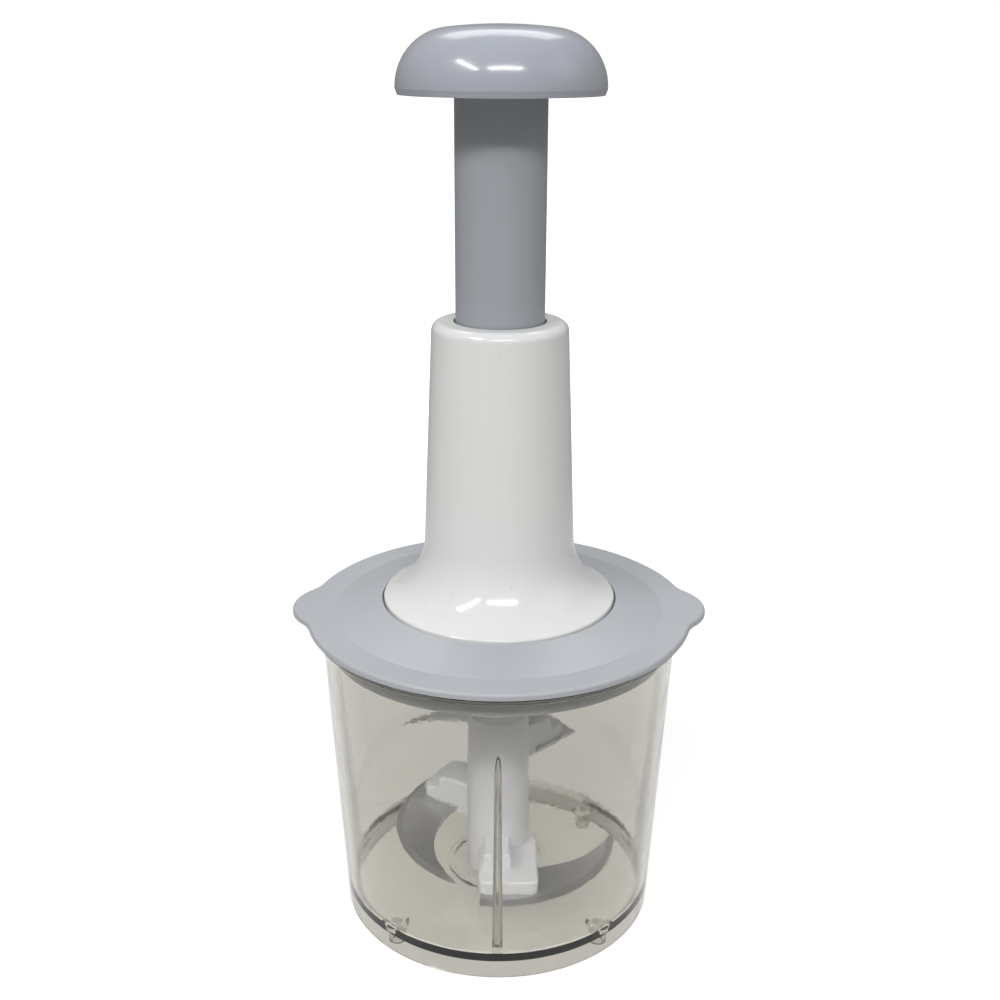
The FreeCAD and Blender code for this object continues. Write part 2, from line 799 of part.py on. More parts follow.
def make_spiral_spindle():
    """Spindle: spiral, collar, journal, clip groove, square foot and small head."""
    spiral = spiral_bar(0.0, spindle_collar_top_z, spiral_top_z)
    collar = cylinder(spindle_collar_r, spindle_collar_z, spindle_collar_top_z)
    journal = cylinder(journal_r, dog_top_z, spindle_collar_z)
    half = spindle_square / 2
    square = box(-half, half, -half, half, spindle_foot_z, dog_top_z)
    head = cylinder(spindle_head_r, spiral_top_z, head_top_z)
    body = joined([spiral, collar, journal, square, head])
    groove = tube(journal_r + cut_over, journal_r - clip_groove_depth, clip_z, clip_z + clip_t)
    thread = cylinder(dog_screw_r, spindle_foot_z - cut_over, spindle_foot_z + dog_screw_bite)
    return body.cut(Part.makeCompound([groove, thread]))


def make_retaining_clip():
    """Open spring clip in the groove below the bearing."""
    ring = tube(clip_r, journal_r - clip_groove_depth, clip_z, clip_z + clip_t)
    half = clip_mouth_w / 2
    mouth = box(0, clip_r + cut_over, -half, half, clip_z - cut_over, clip_z + clip_t + cut_over)
    return ring.cut(mouth)


def make_drive_dog():
    """Hexagonal dog that carries the spindle's turn into the blade column."""
    shoulder = cylinder(dog_shoulder_r, dog_shoulder_z, dog_top_z)
    bar = prism(dog_flats, dog_bottom_z, dog_top_z - dog_shoulder_h / 2)
    point_r = dog_flats / 2 - dog_point_inset
    point_top_z = dog_bottom_z + dog_point_h
    point = cone(point_r, point_r + dog_point_h, dog_bottom_z, point_top_z)
    above = cylinder(dog_shoulder_r + cut_over, point_top_z, dog_top_z + cut_over)
    body = joined([shoulder, bar]).common(joined([point, above]))
    half = spindle_square / 2
    square = box(-half, half, -half, half, spindle_foot_z, dog_top_z + cut_over)
    screw_hole = cylinder(dog_screw_r, dog_bottom_z - cut_over, spindle_foot_z + cut_over)
    head_z = spindle_foot_z - dog_screw_head_h
    recess = cylinder(dog_screw_head_r, dog_bottom_z - cut_over, head_z + dog_screw_head_h / 2)
    return body.cut(Part.makeCompound([square])).cut(screw_hole).cut(recess)


def make_dog_screw():
    """Screw from below that holds the dog on the spindle."""
    head_z = spindle_foot_z - dog_screw_head_h
    head = cylinder(dog_screw_head_r, head_z - dog_screw_head_h / 2, head_z + dog_screw_head_h / 2)
    shank = cylinder(dog_screw_r, head_z, spindle_foot_z + dog_screw_bite)
    return joined([head, shank])


def make_spring_cap():
    """Cap on the head of the spindle that carries the spring."""
    plate = cylinder(cap_r, cap_z, cap_z + cap_t)
    rim = tube(cap_r, cap_r - cap_rim_t, cap_z + cap_t / 2, cap_z + cap_t + cap_rim_h)
    hole = cylinder(spindle_head_r + running_gap, cap_z - cut_over, cap_z + cap_t + cut_over)
    return joined([plate, rim]).cut(hole)


def spring_ring(turns_up, bottom_z, rise):
    """Section of the spring's wire, square to the coil, part way up."""
    angle = 2 * math.pi * turns_up
    pitch = rise / spring_turns
    outward = Vector(math.cos(angle), math.sin(angle), 0)
    along = Vector(-math.sin(angle), math.cos(angle), pitch / (2 * math.pi * spring_mean_r)).normalize()
    across = along.cross(outward)
    centre = outward * spring_mean_r + Vector(0, 0, bottom_z + pitch * turns_up)
    points = []
    for i in range(spring_sides):
        side = 2 * math.pi * i / spring_sides
        points.append(
            centre + outward * (spring_wire_r * math.cos(side)) + across * (spring_wire_r * math.sin(side))
        )
    return Part.makePolygon(points + [points[0]])


def make_return_spring():
    """Compression spring in the tube, one unbroken wire from the cap to the tube's web."""
    bottom_z = cap_z + cap_t + spring_wire_r * 1.2
    rise = tube_web_z - spring_wire_r * 1.2 - bottom_z
    steps = spring_turns * spring_steps
    rings = [spring_ring(k / spring_steps, bottom_z, rise) for k in range(steps + 1)]
    gap = rise / spring_turns - 2 * spring_wire_r
    print("least gap between the spring's turns at rest: %.2f mm" % gap)
    print("gap at full stroke: %.2f mm" % ((rise - stroke) / spring_turns - 2 * spring_wire_r))
    return Part.makeLoft(rings, True, True)


def make_plunger_tube():
    """Grey tube with a keyed flange at its foot and a web near its top."""
    body = cylinder(tube_r, flange_bottom_z, tube_top_z)
    flange = cylinder(flange_r, flange_bottom_z, flange_top_z)
    bore = cylinder(tube_bore_r, flange_bottom_z - cut_over, tube_web_z)
    notch = box(
        key_tip_r - fit_gap,
        flange_r + cut_over,
        -key_w / 2 - fit_gap,
        key_w / 2 + fit_gap,
        flange_bottom_z - cut_over,
        flange_top_z + cut_over,
    )
    screw_hole = cylinder(knob_screw_r + running_gap, tube_web_z - cut_over, tube_top_z + cut_over)
    cuts = [bore, screw_hole] + ring_of(notch, key_count) + nut_pin_set(tube_r + cut_over)
    return joined([body, flange]).cut(Part.makeCompound(cuts))


def nut_pin_set(outer_end):
    """Radial pins round the nut, from inside the nut's wall to a radius."""
    z = nut_bottom_z + nut_pin_z
    inner_end = (spiral_w / 2 + nut_clearance + tube_bore_r) / 2
    pin = Part.makeCylinder(nut_pin_r, outer_end - inner_end, Vector(inner_end, 0, z), Vector(1, 0, 0))
    return ring_of(pin, nut_pin_count, 90.0)


def make_nut_pins():
    """Three steel pins that hold the nut in the tube's foot."""
    return Part.makeCompound(nut_pin_set(tube_r - nut_pin_sunk))


def make_drive_nut():
    """Nut in the tube's foot whose slotted bore follows the spiral with a clearance."""
    body = cylinder(tube_bore_r, nut_bottom_z, nut_top_z)
    bore = spiral_bar(nut_clearance, nut_bottom_z - cut_over, nut_top_z + cut_over)
    return body.cut(bore).cut(Part.makeCompound(nut_pin_set(tube_r + cut_over)))


def knob_centres():
    """Centre of the knob's shoulder arc and of its crown arc, each tangent to the next line, in section."""
    side = math.radians(knob_side_deg)
    crown = Vector(0, 0, knob_top_z - knob_crown_r)
    along = Vector(-math.sin(side), 0, math.cos(side))
    inward = Vector(-math.cos(side), 0, -math.sin(side))
    start = Vector(knob_r, 0, knob_bottom_z + knob_rim_h) + inward * knob_shoulder_r - crown
    reach = start.dot(along)
    rise = math.sqrt(reach ** 2 - start.dot(start) + (knob_crown_r - knob_shoulder_r) ** 2) - reach
    return crown + start + along * rise, crown


def knob_solid(inset, foot_z):
    """Solid dome of the knob, or its hollow drawn inward by a wall, down to a height."""
    turn = chords if inset else lambda a, via, b: [bend(a, via, b)]
    shoulder, crown = knob_centres()
    side = math.radians(knob_side_deg)
    tilt = math.atan2(shoulder.z - crown.z, shoulder.x)
    small_r = knob_shoulder_r - inset
    large_r = knob_crown_r - inset
    middle = (side + tilt) / 2
    upper = (tilt + math.pi / 2) / 2
    rim_z = knob_bottom_z + knob_rim_h
    rim = (knob_r - inset / math.cos(side), rim_z)
    side_top = (shoulder.x + small_r * math.cos(side), shoulder.z + small_r * math.sin(side))
    side_via = (shoulder.x + small_r * math.cos(middle), shoulder.z + small_r * math.sin(middle))
    crown_foot = (large_r * math.cos(tilt), crown.z + large_r * math.sin(tilt))
    crown_via = (large_r * math.cos(upper), crown.z + large_r * math.sin(upper))
    lip_r = rim[0] if inset else rim[0] - knob_lip_inset
    top = (0, knob_top_z - inset)
    edges = [line((0, foot_z), (lip_r, foot_z)), line((lip_r, foot_z), rim), line(rim, side_top)]
    edges += turn(side_top, side_via, crown_foot) + turn(crown_foot, crown_via, top)
    edges.append(line(top, (0, foot_z)))
    return revolve_edges(edges)


def make_knob_shell():
    """Grey palm knob: thin dome with a post for its screw."""
    dome = knob_solid(0.0, knob_bottom_z)
    hollow = knob_solid(knob_wall, knob_bottom_z - cut_over)
    post = cylinder(knob_post_r, tube_top_z, knob_top_z - knob_wall / 2)
    screw_hole = cylinder(knob_screw_r, tube_top_z - cut_over, tube_web_z + knob_screw_bite + screw_spare)
    return joined([dome.cut(hollow), post]).cut(screw_hole)


def make_knob_base():
    """Plate that closes the knob from below, with a collar round the tube."""
    side = math.radians(knob_side_deg)
    plate_z = knob_bottom_z + knob_plate_t / 2
    plate_top_z = plate_z + knob_plate_t
    collar_top_z = plate_top_z + knob_collar_h
    lean = max(0.0, plate_top_z - knob_bottom_z - knob_rim_h) * math.tan(side)
    plate_r = knob_r - knob_wall / math.cos(side) - lean - fit_gap
    plate = cylinder(plate_r, plate_z, plate_top_z)
    collar = cylinder(tube_r + knob_collar_wall, plate_z, collar_top_z)
    return joined([plate, collar]).cut(cylinder(tube_r, plate_z - cut_over, collar_top_z + cut_over))


def make_knob_screw():
    """Screw from inside the tube up through its web into the knob's post."""
    head = cylinder(knob_screw_head_r, tube_web_z - knob_screw_head_h, tube_web_z)
    shank = cylinder(knob_screw_r, tube_web_z - knob_screw_head_h / 2, tube_web_z + knob_screw_bite)
    return joined([head, shank])


def build_all():
    """Every piece by its name."""
    pieces = {
        "bowl": make_bowl(),
        "pivot_pin": make_pivot_pin(),
        "blade_column": make_blade_column(),
        "column_bush": make_column_bush(),
        "lid_ring": make_lid_ring(),
        "lid_seal": make_lid_seal(),
        "housing": make_housing(),
        "guide_bush": make_guide_bush(),
        "housing_base": make_housing_base(),
        "base_screws": make_base_screws(),
        "spindle_bush": make_spindle_bush(),
        "thrust_washer": make_thrust_washer(),
        "spiral_spindle": make_spiral_spindle(),
        "retaining_clip": make_retaining_clip(),
        "drive_dog": make_drive_dog(),
        "dog_screw": make_dog_screw(),
        "spring_cap": make_spring_cap(),
        "return_spring": make_return_spring(),
        "plunger_tube": make_plunger_tube(),
        "nut_pins": make_nut_pins(),
        "drive_nut": make_drive_nut(),
        "knob_shell": make_knob_shell(),
        "knob_base": make_knob_base(),
        "knob_screw": make_knob_screw(),
    }
    pieces.update(make_blade_sets())
    return pieces


def main():
    """Build the pieces and write one STEP file for each."""
    os.makedirs("parts", exist_ok=True)
    for name, shape in build_all().items():
        solids = shape.Solids
        body = solids[0] if len(solids) == 1 else Part.makeCompound(solids)
        body.exportStep("parts/" + name + ".step")
        state = "valid" if body.isValid() else "NOT VALID"
        print(name, len(solids), "solid(s)", state, round(body.Volume, 1))


main()
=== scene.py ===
"""Looks of the plunger food chopper: finishes, small made pieces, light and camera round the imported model.

Everything is in metres in the model's own frame: +Z up along the plunger, the front of the bowl along -Y and
the ears of the lid along X. Patterns in the finishes are drawn in millimetres of the object's own space.
"""

from __future__ import annotations

import logging
import math
from dataclasses import dataclass
from enum import Enum
from typing import Any, Iterable, Sequence

import bmesh
import bpy
from mathutils import Euler, Matrix, Vector

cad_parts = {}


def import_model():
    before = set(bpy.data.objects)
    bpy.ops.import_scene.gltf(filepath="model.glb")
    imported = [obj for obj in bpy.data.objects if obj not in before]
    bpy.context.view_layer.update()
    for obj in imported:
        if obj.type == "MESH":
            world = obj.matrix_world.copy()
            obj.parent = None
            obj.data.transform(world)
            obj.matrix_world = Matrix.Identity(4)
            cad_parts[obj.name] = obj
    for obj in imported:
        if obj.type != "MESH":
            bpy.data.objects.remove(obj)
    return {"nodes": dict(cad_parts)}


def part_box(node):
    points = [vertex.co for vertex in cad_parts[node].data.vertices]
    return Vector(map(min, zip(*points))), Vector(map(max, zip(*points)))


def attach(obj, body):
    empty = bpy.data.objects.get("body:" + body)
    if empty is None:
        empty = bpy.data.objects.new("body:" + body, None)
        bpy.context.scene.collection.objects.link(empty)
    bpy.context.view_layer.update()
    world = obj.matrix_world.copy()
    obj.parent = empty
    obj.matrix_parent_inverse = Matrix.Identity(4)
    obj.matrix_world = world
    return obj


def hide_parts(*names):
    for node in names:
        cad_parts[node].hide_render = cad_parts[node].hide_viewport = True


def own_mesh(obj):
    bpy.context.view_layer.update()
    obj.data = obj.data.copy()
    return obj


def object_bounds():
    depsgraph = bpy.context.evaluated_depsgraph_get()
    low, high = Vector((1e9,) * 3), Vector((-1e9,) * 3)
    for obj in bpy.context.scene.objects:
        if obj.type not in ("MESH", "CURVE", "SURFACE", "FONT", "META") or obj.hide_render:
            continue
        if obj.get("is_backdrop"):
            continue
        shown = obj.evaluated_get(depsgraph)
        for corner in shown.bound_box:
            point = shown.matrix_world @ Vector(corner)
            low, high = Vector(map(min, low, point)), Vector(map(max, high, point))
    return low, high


LOG = logging.getLogger("food_chopper")
MM = 0.001
Colour = tuple[float, float, float]
Value = Any


class Kind(Enum):
    """Kinds of socket that an effect's group shows."""

    VALUE = "NodeSocketFloat"
    COLOUR = "NodeSocketColor"
    VECTOR = "NodeSocketVector"


class LineRun(Enum):
    """Ways that grinding or turning lines run over a steel piece."""

    ROUND_AXIS = "round the plunger's axis"
    ALONG_AXIS = "along the plunger's axis"
    ACROSS = "straight across the piece"


def grey_of(byte: float) -> float:
    """Scene-linear value, from 0 to 1, of a screen value from 0 to 255 on the sRGB curve."""
    share = byte / 255.0
    return share / 12.92 if share <= 0.04045 else ((share + 0.055) / 1.055) ** 2.4


def screen(red: float, green: float, blue: float) -> Colour:
    """Scene-linear colour of three screen values from 0 to 255."""
    return (grey_of(red), grey_of(green), grey_of(blue))


class Graph:
    """A node tree with short ways to add and join nodes."""

    def __init__(self, tree: bpy.types.NodeTree) -> None:
        """Wraps the node tree to draw in."""
        self.tree = tree
        self.count = 0

    def node(self, kind: str, **settings: Value) -> bpy.types.Node:
        """Adds a node.

        Args:
            kind: the node's type name.
            settings: properties to set on it.

        Returns:
            The new node.
        """
        made = self.tree.nodes.new(kind)
        for name, value in settings.items():
            setattr(made, name, value)
        made.location = (220 * (self.count % 9), -240 * (self.count // 9))
        self.count += 1
        return made

    def feed(self, target: bpy.types.NodeSocket, source: Value) -> None:
        """Joins a socket to another, or sets a plain value on it.

        Args:
            target: the input socket.
            source: an output socket or a plain value.
        """
        if isinstance(source, bpy.types.NodeSocket):
            self.tree.links.new(source, target)
        elif target.type == "RGBA" and len(source) == 3:
            target.default_value = (*source, 1.0)
        else:
            target.default_value = source

    def fix(self, node: bpy.types.Node, **values: Value) -> None:
        """Sets plain values on a node's own inputs, which are named with _ for a space."""
        for name, value in values.items():
            node.inputs[name.replace("_", " ")].default_value = value

    def calc(self, operation: str, a: Value, b: Value = 0.0, clamp: bool = False) -> bpy.types.NodeSocket:
        """Sum, product or other plain operation on two values.

        Args:
            operation: the Math node's operation.
            a: first value or socket.
            b: second value or socket.
            clamp: whether the result stays from 0 to 1.

        Returns:
            The result's socket.
        """
        made = self.node("ShaderNodeMath", operation=operation, use_clamp=clamp)
        self.feed(made.inputs[0], a)
        self.feed(made.inputs[1], b)
        return made.outputs[0]

    def spread(
        self, value: Value, low: float, high: float, start: float = 0.0, end: float = 1.0
    ) -> bpy.types.NodeSocket:
        """Maps a value smoothly from one span to another.

        Args:
            value: the value's socket.
            low: where the span begins.
            high: where it ends.
            start: result at low.
            end: result at high.

        Returns:
            The result's socket.
        """
        made = self.node("ShaderNodeMapRange", interpolation_type="SMOOTHSTEP")
        for socket, given in zip(made.inputs, (value, low, high, start, end)):
            self.feed(socket, given)
        return made.outputs[0]

    def mix(self, share: Value, a: Value, b: Value) -> bpy.types.NodeSocket:
        """Mixes two colours.

        Args:
            share: how much of the second, from 0 to 1.
            a: first colour or socket.
            b: second colour or socket.

        Returns:
            The mixed colour's socket.
        """
        made = self.node("ShaderNodeMix", data_type="RGBA")
        self.feed(made.inputs[0], share)
        self.feed(made.inputs[6], a)
        self.feed(made.inputs[7], b)
        return made.outputs[2]

    def millimetres(self, stretch: Sequence[float] = (1.0, 1.0, 1.0)) -> bpy.types.NodeSocket:
        """Place on the piece in millimetres.

        Args:
            stretch: factor on each axis, to draw a pattern out along one.

        Returns:
            The vector's socket.
        """
        place = self.node("ShaderNodeTexCoord").outputs["Object"]
        scale = self.node("ShaderNodeVectorMath", operation="MULTIPLY")
        self.feed(scale.inputs[0], place)
        scale.inputs[1].default_value = [s / MM for s in stretch]
        return scale.outputs[0]

    def polar(self) -> tuple[bpy.types.NodeSocket, ...]:
        """Place on the piece round the upright axis, in millimetres.

        Returns:
            The sockets of the distance from the axis, of x, of y and of the height.
        """
        split = self.node("ShaderNodeSeparateXYZ")
        self.feed(split.inputs[0], self.millimetres())
        x, y, z = split.outputs
        squares = [self.calc("MULTIPLY", side, side) for side in (x, y)]
        return self.calc("SQRT", self.calc("ADD", *squares)), x, y, z

    def noise(self, place: Value, per_mm: Value, detail: float, rough: float) -> bpy.types.NodeSocket:
        """Cloudy noise.

        Args:
            place: where to read it.
            per_mm: how many clouds lie in a millimetre.
            detail: how many finer layers it has.
            rough: how strong they are.

        Returns:
            The noise value's socket.
        """
        made = self.node("ShaderNodeTexNoise")
        self.feed(made.inputs["Vector"], place)
        self.feed(made.inputs["Scale"], per_mm)
        self.fix(made, Detail=detail, Roughness=rough)
        return made.outputs[0]

    def cells(self, place: Value, per_mm: Value) -> bpy.types.Node:
        """Random points spread over the piece.

        Args:
            place: where to read them.
            per_mm: how many lie along a millimetre.

        Returns:
            The Voronoi node, with its Distance and Color outputs.
        """
        made = self.node("ShaderNodeTexVoronoi")
        self.feed(made.inputs["Vector"], place)
        self.feed(made.inputs["Scale"], per_mm)
        return made

    def bump(self, height: Value, depth_mm: float) -> bpy.types.NodeSocket:
        """Normal of a surface with small heights on it.

        Args:
            height: the height's socket, from 0 to 1.
            depth_mm: how high 1 is, in millimetres.

        Returns:
            The normal's socket.
        """
        made = self.node("ShaderNodeBump")
        self.fix(made, Strength=1.0, Distance=depth_mm * MM)
        self.feed(made.inputs["Height"], height)
        return made.outputs[0]


class Effect:
    """An effect that several finishes share, as one shader node group."""

    name = "effect"
    takes: tuple[tuple[str, Kind, Value], ...] = ()
    gives: tuple[tuple[str, Kind], ...] = ()

    def draw(self, graph: Graph, given: bpy.types.Node) -> dict[str, Value]:
        """Draws the nodes behind the group's inputs and gives the socket of each output by name."""
        raise NotImplementedError

    def tree(self) -> bpy.types.NodeTree:
        """The effect's group, built on first use.

        Returns:
            The node group.
        """
        found = bpy.data.node_groups.get(self.name)
        if found:
            return found
        made = bpy.data.node_groups.new(self.name, "ShaderNodeTree")
        for name, kind, default in self.takes:
            socket = made.interface.new_socket(name=name, in_out="INPUT", socket_type=kind.value)
            socket.default_value = (*default, 1.0) if kind is Kind.COLOUR else default
        for name, kind in self.gives:
            made.interface.new_socket(name=name, in_out="OUTPUT", socket_type=kind.value)
        graph = Graph(made)
        given = graph.node("NodeGroupInput")
        taken = graph.node("NodeGroupOutput")
        for name, socket in self.draw(graph, given).items():
            graph.feed(taken.inputs[name], socket)
        return made

    def place(self, graph: Graph, **values: Value) -> bpy.types.Node:
        """Puts the effect into a material.

        Args:
            graph: the material's nodes.
            values: inputs by name, with _ for a space.

        Returns:
            The group's node.
        """
        made = graph.node("ShaderNodeGroup", node_tree=self.tree())
        for name, value in values.items():
            graph.feed(made.inputs[name.replace("_", " ")], value)
        return made


class MouldedSkin(Effect):
    """Skin of moulded plastic: cloudy tone, a fine grain and the slow ripple of a cooled wall."""

    name = "Moulded skin"
    takes = (
        ("Colour", Kind.COLOUR, (0.5, 0.5, 0.5)),
        ("Mottle", Kind.VALUE, 0.04),
        ("Grain per mm", Kind.VALUE, 3.0),
        ("Ripple share", Kind.VALUE, 0.5),
    )
    gives = (("Colour", Kind.COLOUR), ("Height", Kind.VALUE))

    def draw(self, graph: Graph, given: bpy.types.Node) -> dict[str, Value]:
        """Draws cloud, grain and ripple.

        Args:
            graph: where to draw them.
            given: the group's input node.

        Returns:
            The socket of each output by name.
        """
        place = graph.millimetres()
        cloud = graph.noise(place, per_mm=0.045, detail=4.0, rough=0.6)
        fine = graph.noise(place, per_mm=1.4, detail=2.0, rough=0.7)
        tone = graph.calc("ADD", graph.calc("MULTIPLY", cloud, 0.7), graph.calc("MULTIPLY", fine, 0.3))
        lift = graph.calc("MULTIPLY", graph.calc("SUBTRACT", tone, 0.5), given.outputs["Mottle"])
        shade = graph.calc("ADD", graph.calc("MULTIPLY", lift, 2.0), 1.0)
        tinted = graph.node("ShaderNodeVectorMath", operation="SCALE")
        graph.feed(tinted.inputs[0], given.outputs["Colour"])
        graph.feed(tinted.inputs["Scale"], shade)
        grain = graph.noise(place, given.outputs["Grain per mm"], detail=3.0, rough=0.55)
        ripple = graph.noise(place, per_mm=0.09, detail=1.0, rough=0.4)
        height = graph.calc("ADD", grain, graph.calc("MULTIPLY", ripple, given.outputs["Ripple share"]))
        return {"Colour": tinted.outputs[0], "Height": height}


class HandlingMarks(Effect):
    """Marks of use: dull smears where hands and cloths rub, and a few hairline scratches."""

    name = "Handling marks"
    takes = (("Smear per mm", Kind.VALUE, 0.07), ("Scratch share", Kind.VALUE, 0.5))
    gives = (("Smear", Kind.VALUE), ("Scratch", Kind.VALUE))
    runs = ((0.5, (0.9, 0.02, 0.9)), (-0.9, (0.02, 0.8, 0.7)), (2.1, (0.8, 0.8, 0.02)))

    def draw(self, graph: Graph, given: bpy.types.Node) -> dict[str, Value]:
        """Draws smears and scratches.

        Args:
            graph: where to draw them.
            given: the group's input node.

        Returns:
            The socket of each output by name.
        """
        place = graph.millimetres()
        broad = graph.noise(place, given.outputs["Smear per mm"], detail=5.0, rough=0.65)
        smear = graph.spread(broad, low=0.46, high=0.72)
        lines = None
        for turn, stretch in self.runs:
            spin = graph.node("ShaderNodeVectorRotate", rotation_type="EULER_XYZ")
            graph.feed(spin.inputs["Vector"], graph.millimetres(stretch))
            spin.inputs["Rotation"].default_value = (0.2 * turn, 0.3 * turn, turn)
            hair = graph.noise(spin.outputs[0], per_mm=0.8, detail=0.0, rough=0.4)
            off_middle = graph.calc("ABSOLUTE", graph.calc("SUBTRACT", hair, 0.5))
            thin = graph.spread(off_middle, low=0.0, high=0.004, start=1.0, end=0.0)
            lines = thin if lines is None else graph.calc("MAXIMUM", lines, thin)
        patches = graph.noise(place, per_mm=0.05, detail=2.0, rough=0.5)
        where = graph.spread(patches, low=0.5, high=0.66)
        scratch = graph.calc("MULTIPLY", graph.calc("MULTIPLY", lines, where), given.outputs["Scratch share"])
        return {"Smear": smear, "Scratch": scratch}


class WornEdges(Effect):
    """Edges rubbed paler and smoother than the faces beside them."""

    name = "Worn edges"
    takes = (("Width mm", Kind.VALUE, 0.5), ("Break up", Kind.VALUE, 0.6))
    gives = (("Worn", Kind.VALUE),)

    def draw(self, graph: Graph, given: bpy.types.Node) -> dict[str, Value]:
        """Draws the edge mask from a rounded normal.

        Args:
            graph: where to draw them.
            given: the group's input node.

        Returns:
            The socket of each output by name.
        """
        rounded = graph.node("ShaderNodeBevel", samples=4)
        graph.feed(rounded.inputs["Radius"], graph.calc("MULTIPLY", given.outputs["Width mm"], MM))
        flat = graph.node("ShaderNodeNewGeometry")
        match = graph.node("ShaderNodeVectorMath", operation="DOT_PRODUCT")
        graph.feed(match.inputs[0], rounded.outputs[0])
        graph.feed(match.inputs[1], flat.outputs["Normal"])
        turned = graph.spread(match.outputs["Value"], low=0.72, high=0.985, start=1.0, end=0.0)
        patches = graph.noise(graph.millimetres(), per_mm=0.35, detail=4.0, rough=0.6)
        patchy = graph.spread(patches, low=0.35, high=0.62)
        kept = graph.calc("SUBTRACT", 1.0, given.outputs["Break up"])
        patchy = graph.calc("ADD", kept, graph.calc("MULTIPLY", patchy, given.outputs["Break up"]))
        return {"Worn": graph.calc("MULTIPLY", turned, patchy, clamp=True)}


class DustSpecks(Effect):
    """Sparse small specks, as dust and crumbs leave on a kitchen tool."""

    name = "Dust specks"
    takes = (("Specks per mm", Kind.VALUE, 0.25), ("Share with one", Kind.VALUE, 0.12))
    gives = (("Speck", Kind.VALUE),)

    def draw(self, graph: Graph, given: bpy.types.Node) -> dict[str, Value]:
        """Draws small dots in a few random cells.

        Args:
            graph: where to draw them.
            given: the group's input node.

        Returns:
            The socket of each output by name.
        """
        cell = graph.cells(graph.millimetres(), given.outputs["Specks per mm"])
        dot = graph.spread(cell.outputs["Distance"], low=0.035, high=0.07, start=1.0, end=0.0)
        split = graph.node("ShaderNodeSeparateColor")
        graph.feed(split.inputs[0], cell.outputs["Color"])
        chosen = graph.calc("LESS_THAN", split.outputs[0], given.outputs["Share with one"])
        return {"Speck": graph.calc("MULTIPLY", dot, chosen)}


class GroundLines(Effect):
    """Fine lines of grinding or turning on steel, read at a given place."""

    name = "Ground lines"
    takes = (("Place", Kind.VECTOR, (0.0, 0.0, 0.0)), ("Lines per mm", Kind.VALUE, 5.0))
    gives = (("Line", Kind.VALUE), ("Stain", Kind.VALUE))

    def draw(self, graph: Graph, given: bpy.types.Node) -> dict[str, Value]:
        """Draws lines from stretched noise and a faint stain.

        Args:
            graph: where to draw them.
            given: the group's input node.

        Returns:
            The socket of each output by name.
        """
        fine = graph.noise(given.outputs["Place"], given.outputs["Lines per mm"], detail=4.0, rough=0.75)
        coarse = graph.noise(given.outputs["Place"], per_mm=0.9, detail=2.0, rough=0.5)
        line = graph.calc("ADD", graph.calc("MULTIPLY", fine, 0.75), graph.calc("MULTIPLY", coarse, 0.25))
        broad = graph.noise(graph.millimetres(), per_mm=0.12, detail=5.0, rough=0.65)
        stain = graph.spread(broad, low=0.42, high=0.7)
        return {"Line": line, "Stain": stain}


SKIN = MouldedSkin()
MARKS = HandlingMarks()
EDGES = WornEdges()
SPECKS = DustSpecks()
LINES = GroundLines()


class Finish:
    """A material made of nodes, built on first use."""

    name: str

    def draw(self, graph: Graph, shader: bpy.types.Node, out: bpy.types.Node) -> None:
        """Draws the finish round the material's Principled shader and output node."""
        raise NotImplementedError

    def material(self) -> bpy.types.Material:
        """The finish as a material.

        Returns:
            The material, made once.
        """
        found = bpy.data.materials.get(self.name)
        if found:
            return found
        made = bpy.data.materials.new(self.name)
        made.use_nodes = True
        made.node_tree.nodes.clear()
        graph = Graph(made.node_tree)
        out = graph.node("ShaderNodeOutputMaterial")
        shader = graph.node("ShaderNodeBsdfPrincipled")
        graph.feed(out.inputs["Surface"], shader.outputs[0])
        self.draw(graph, shader, out)
        return made


@dataclass(frozen=True)
class MouldedPlastic(Finish):
    """Coloured moulded plastic, from satin to glossy."""

    name: str
    colour: Colour
    roughness: float
    coat: float = 0.0
    grain_per_mm: float = 2.5
    grain_mm: float = 0.01
    mottle: float = 0.03
    dulling: float = 0.12
    wear: float = 0.12
    speck: float = 0.5
    soft: float = 0.0
    soft_mm: float = 2.5
    soft_reach: Colour = (1.0, 0.95, 0.9)
    edge_mm: float = 0.45
    scratch: float = 0.12
    coat_roughness: float = 0.06
    ior: float = 1.5

    def draw(self, graph: Graph, shader: bpy.types.Node, out: bpy.types.Node) -> None:
        """Draws skin, marks, worn edges and specks.

        Args:
            graph: the material's nodes.
            shader: its Principled shader.
            out: its output node, not used.
        """
        skin = SKIN.place(graph, Colour=self.colour, Mottle=self.mottle, Grain_per_mm=self.grain_per_mm)
        marks = MARKS.place(graph)
        edges = EDGES.place(graph, Width_mm=self.edge_mm)
        specks = SPECKS.place(graph)
        pale = tuple(min(1.0, c * 1.25 + 0.03) for c in self.colour)
        dark = tuple(c * 0.35 for c in self.colour)
        worn = graph.calc("MULTIPLY", edges.outputs["Worn"], self.wear * 4.0, clamp=True)
        base = graph.mix(worn, skin.outputs["Colour"], pale)
        scratch = graph.calc("MULTIPLY", marks.outputs["Scratch"], self.scratch)
        scratched = graph.mix(scratch, base, pale)
        spoiled = graph.mix(graph.calc("MULTIPLY", specks.outputs["Speck"], self.speck), scratched, dark)
        graph.feed(shader.inputs["Base Color"], spoiled)
        dull = graph.calc("MULTIPLY", marks.outputs["Smear"], self.dulling)
        dull = graph.calc("ADD", dull, scratch)
        graph.feed(shader.inputs["Roughness"], graph.calc("ADD", dull, self.roughness, clamp=True))
        graph.feed(shader.inputs["Normal"], graph.bump(skin.outputs["Height"], self.grain_mm))
        graph.fix(shader, IOR=self.ior, Coat_Weight=self.coat, Coat_Roughness=self.coat_roughness)
        if self.soft:
            graph.fix(shader, Subsurface_Weight=self.soft, Subsurface_Radius=self.soft_reach)
            graph.fix(shader, Subsurface_Scale=self.soft_mm * MM)


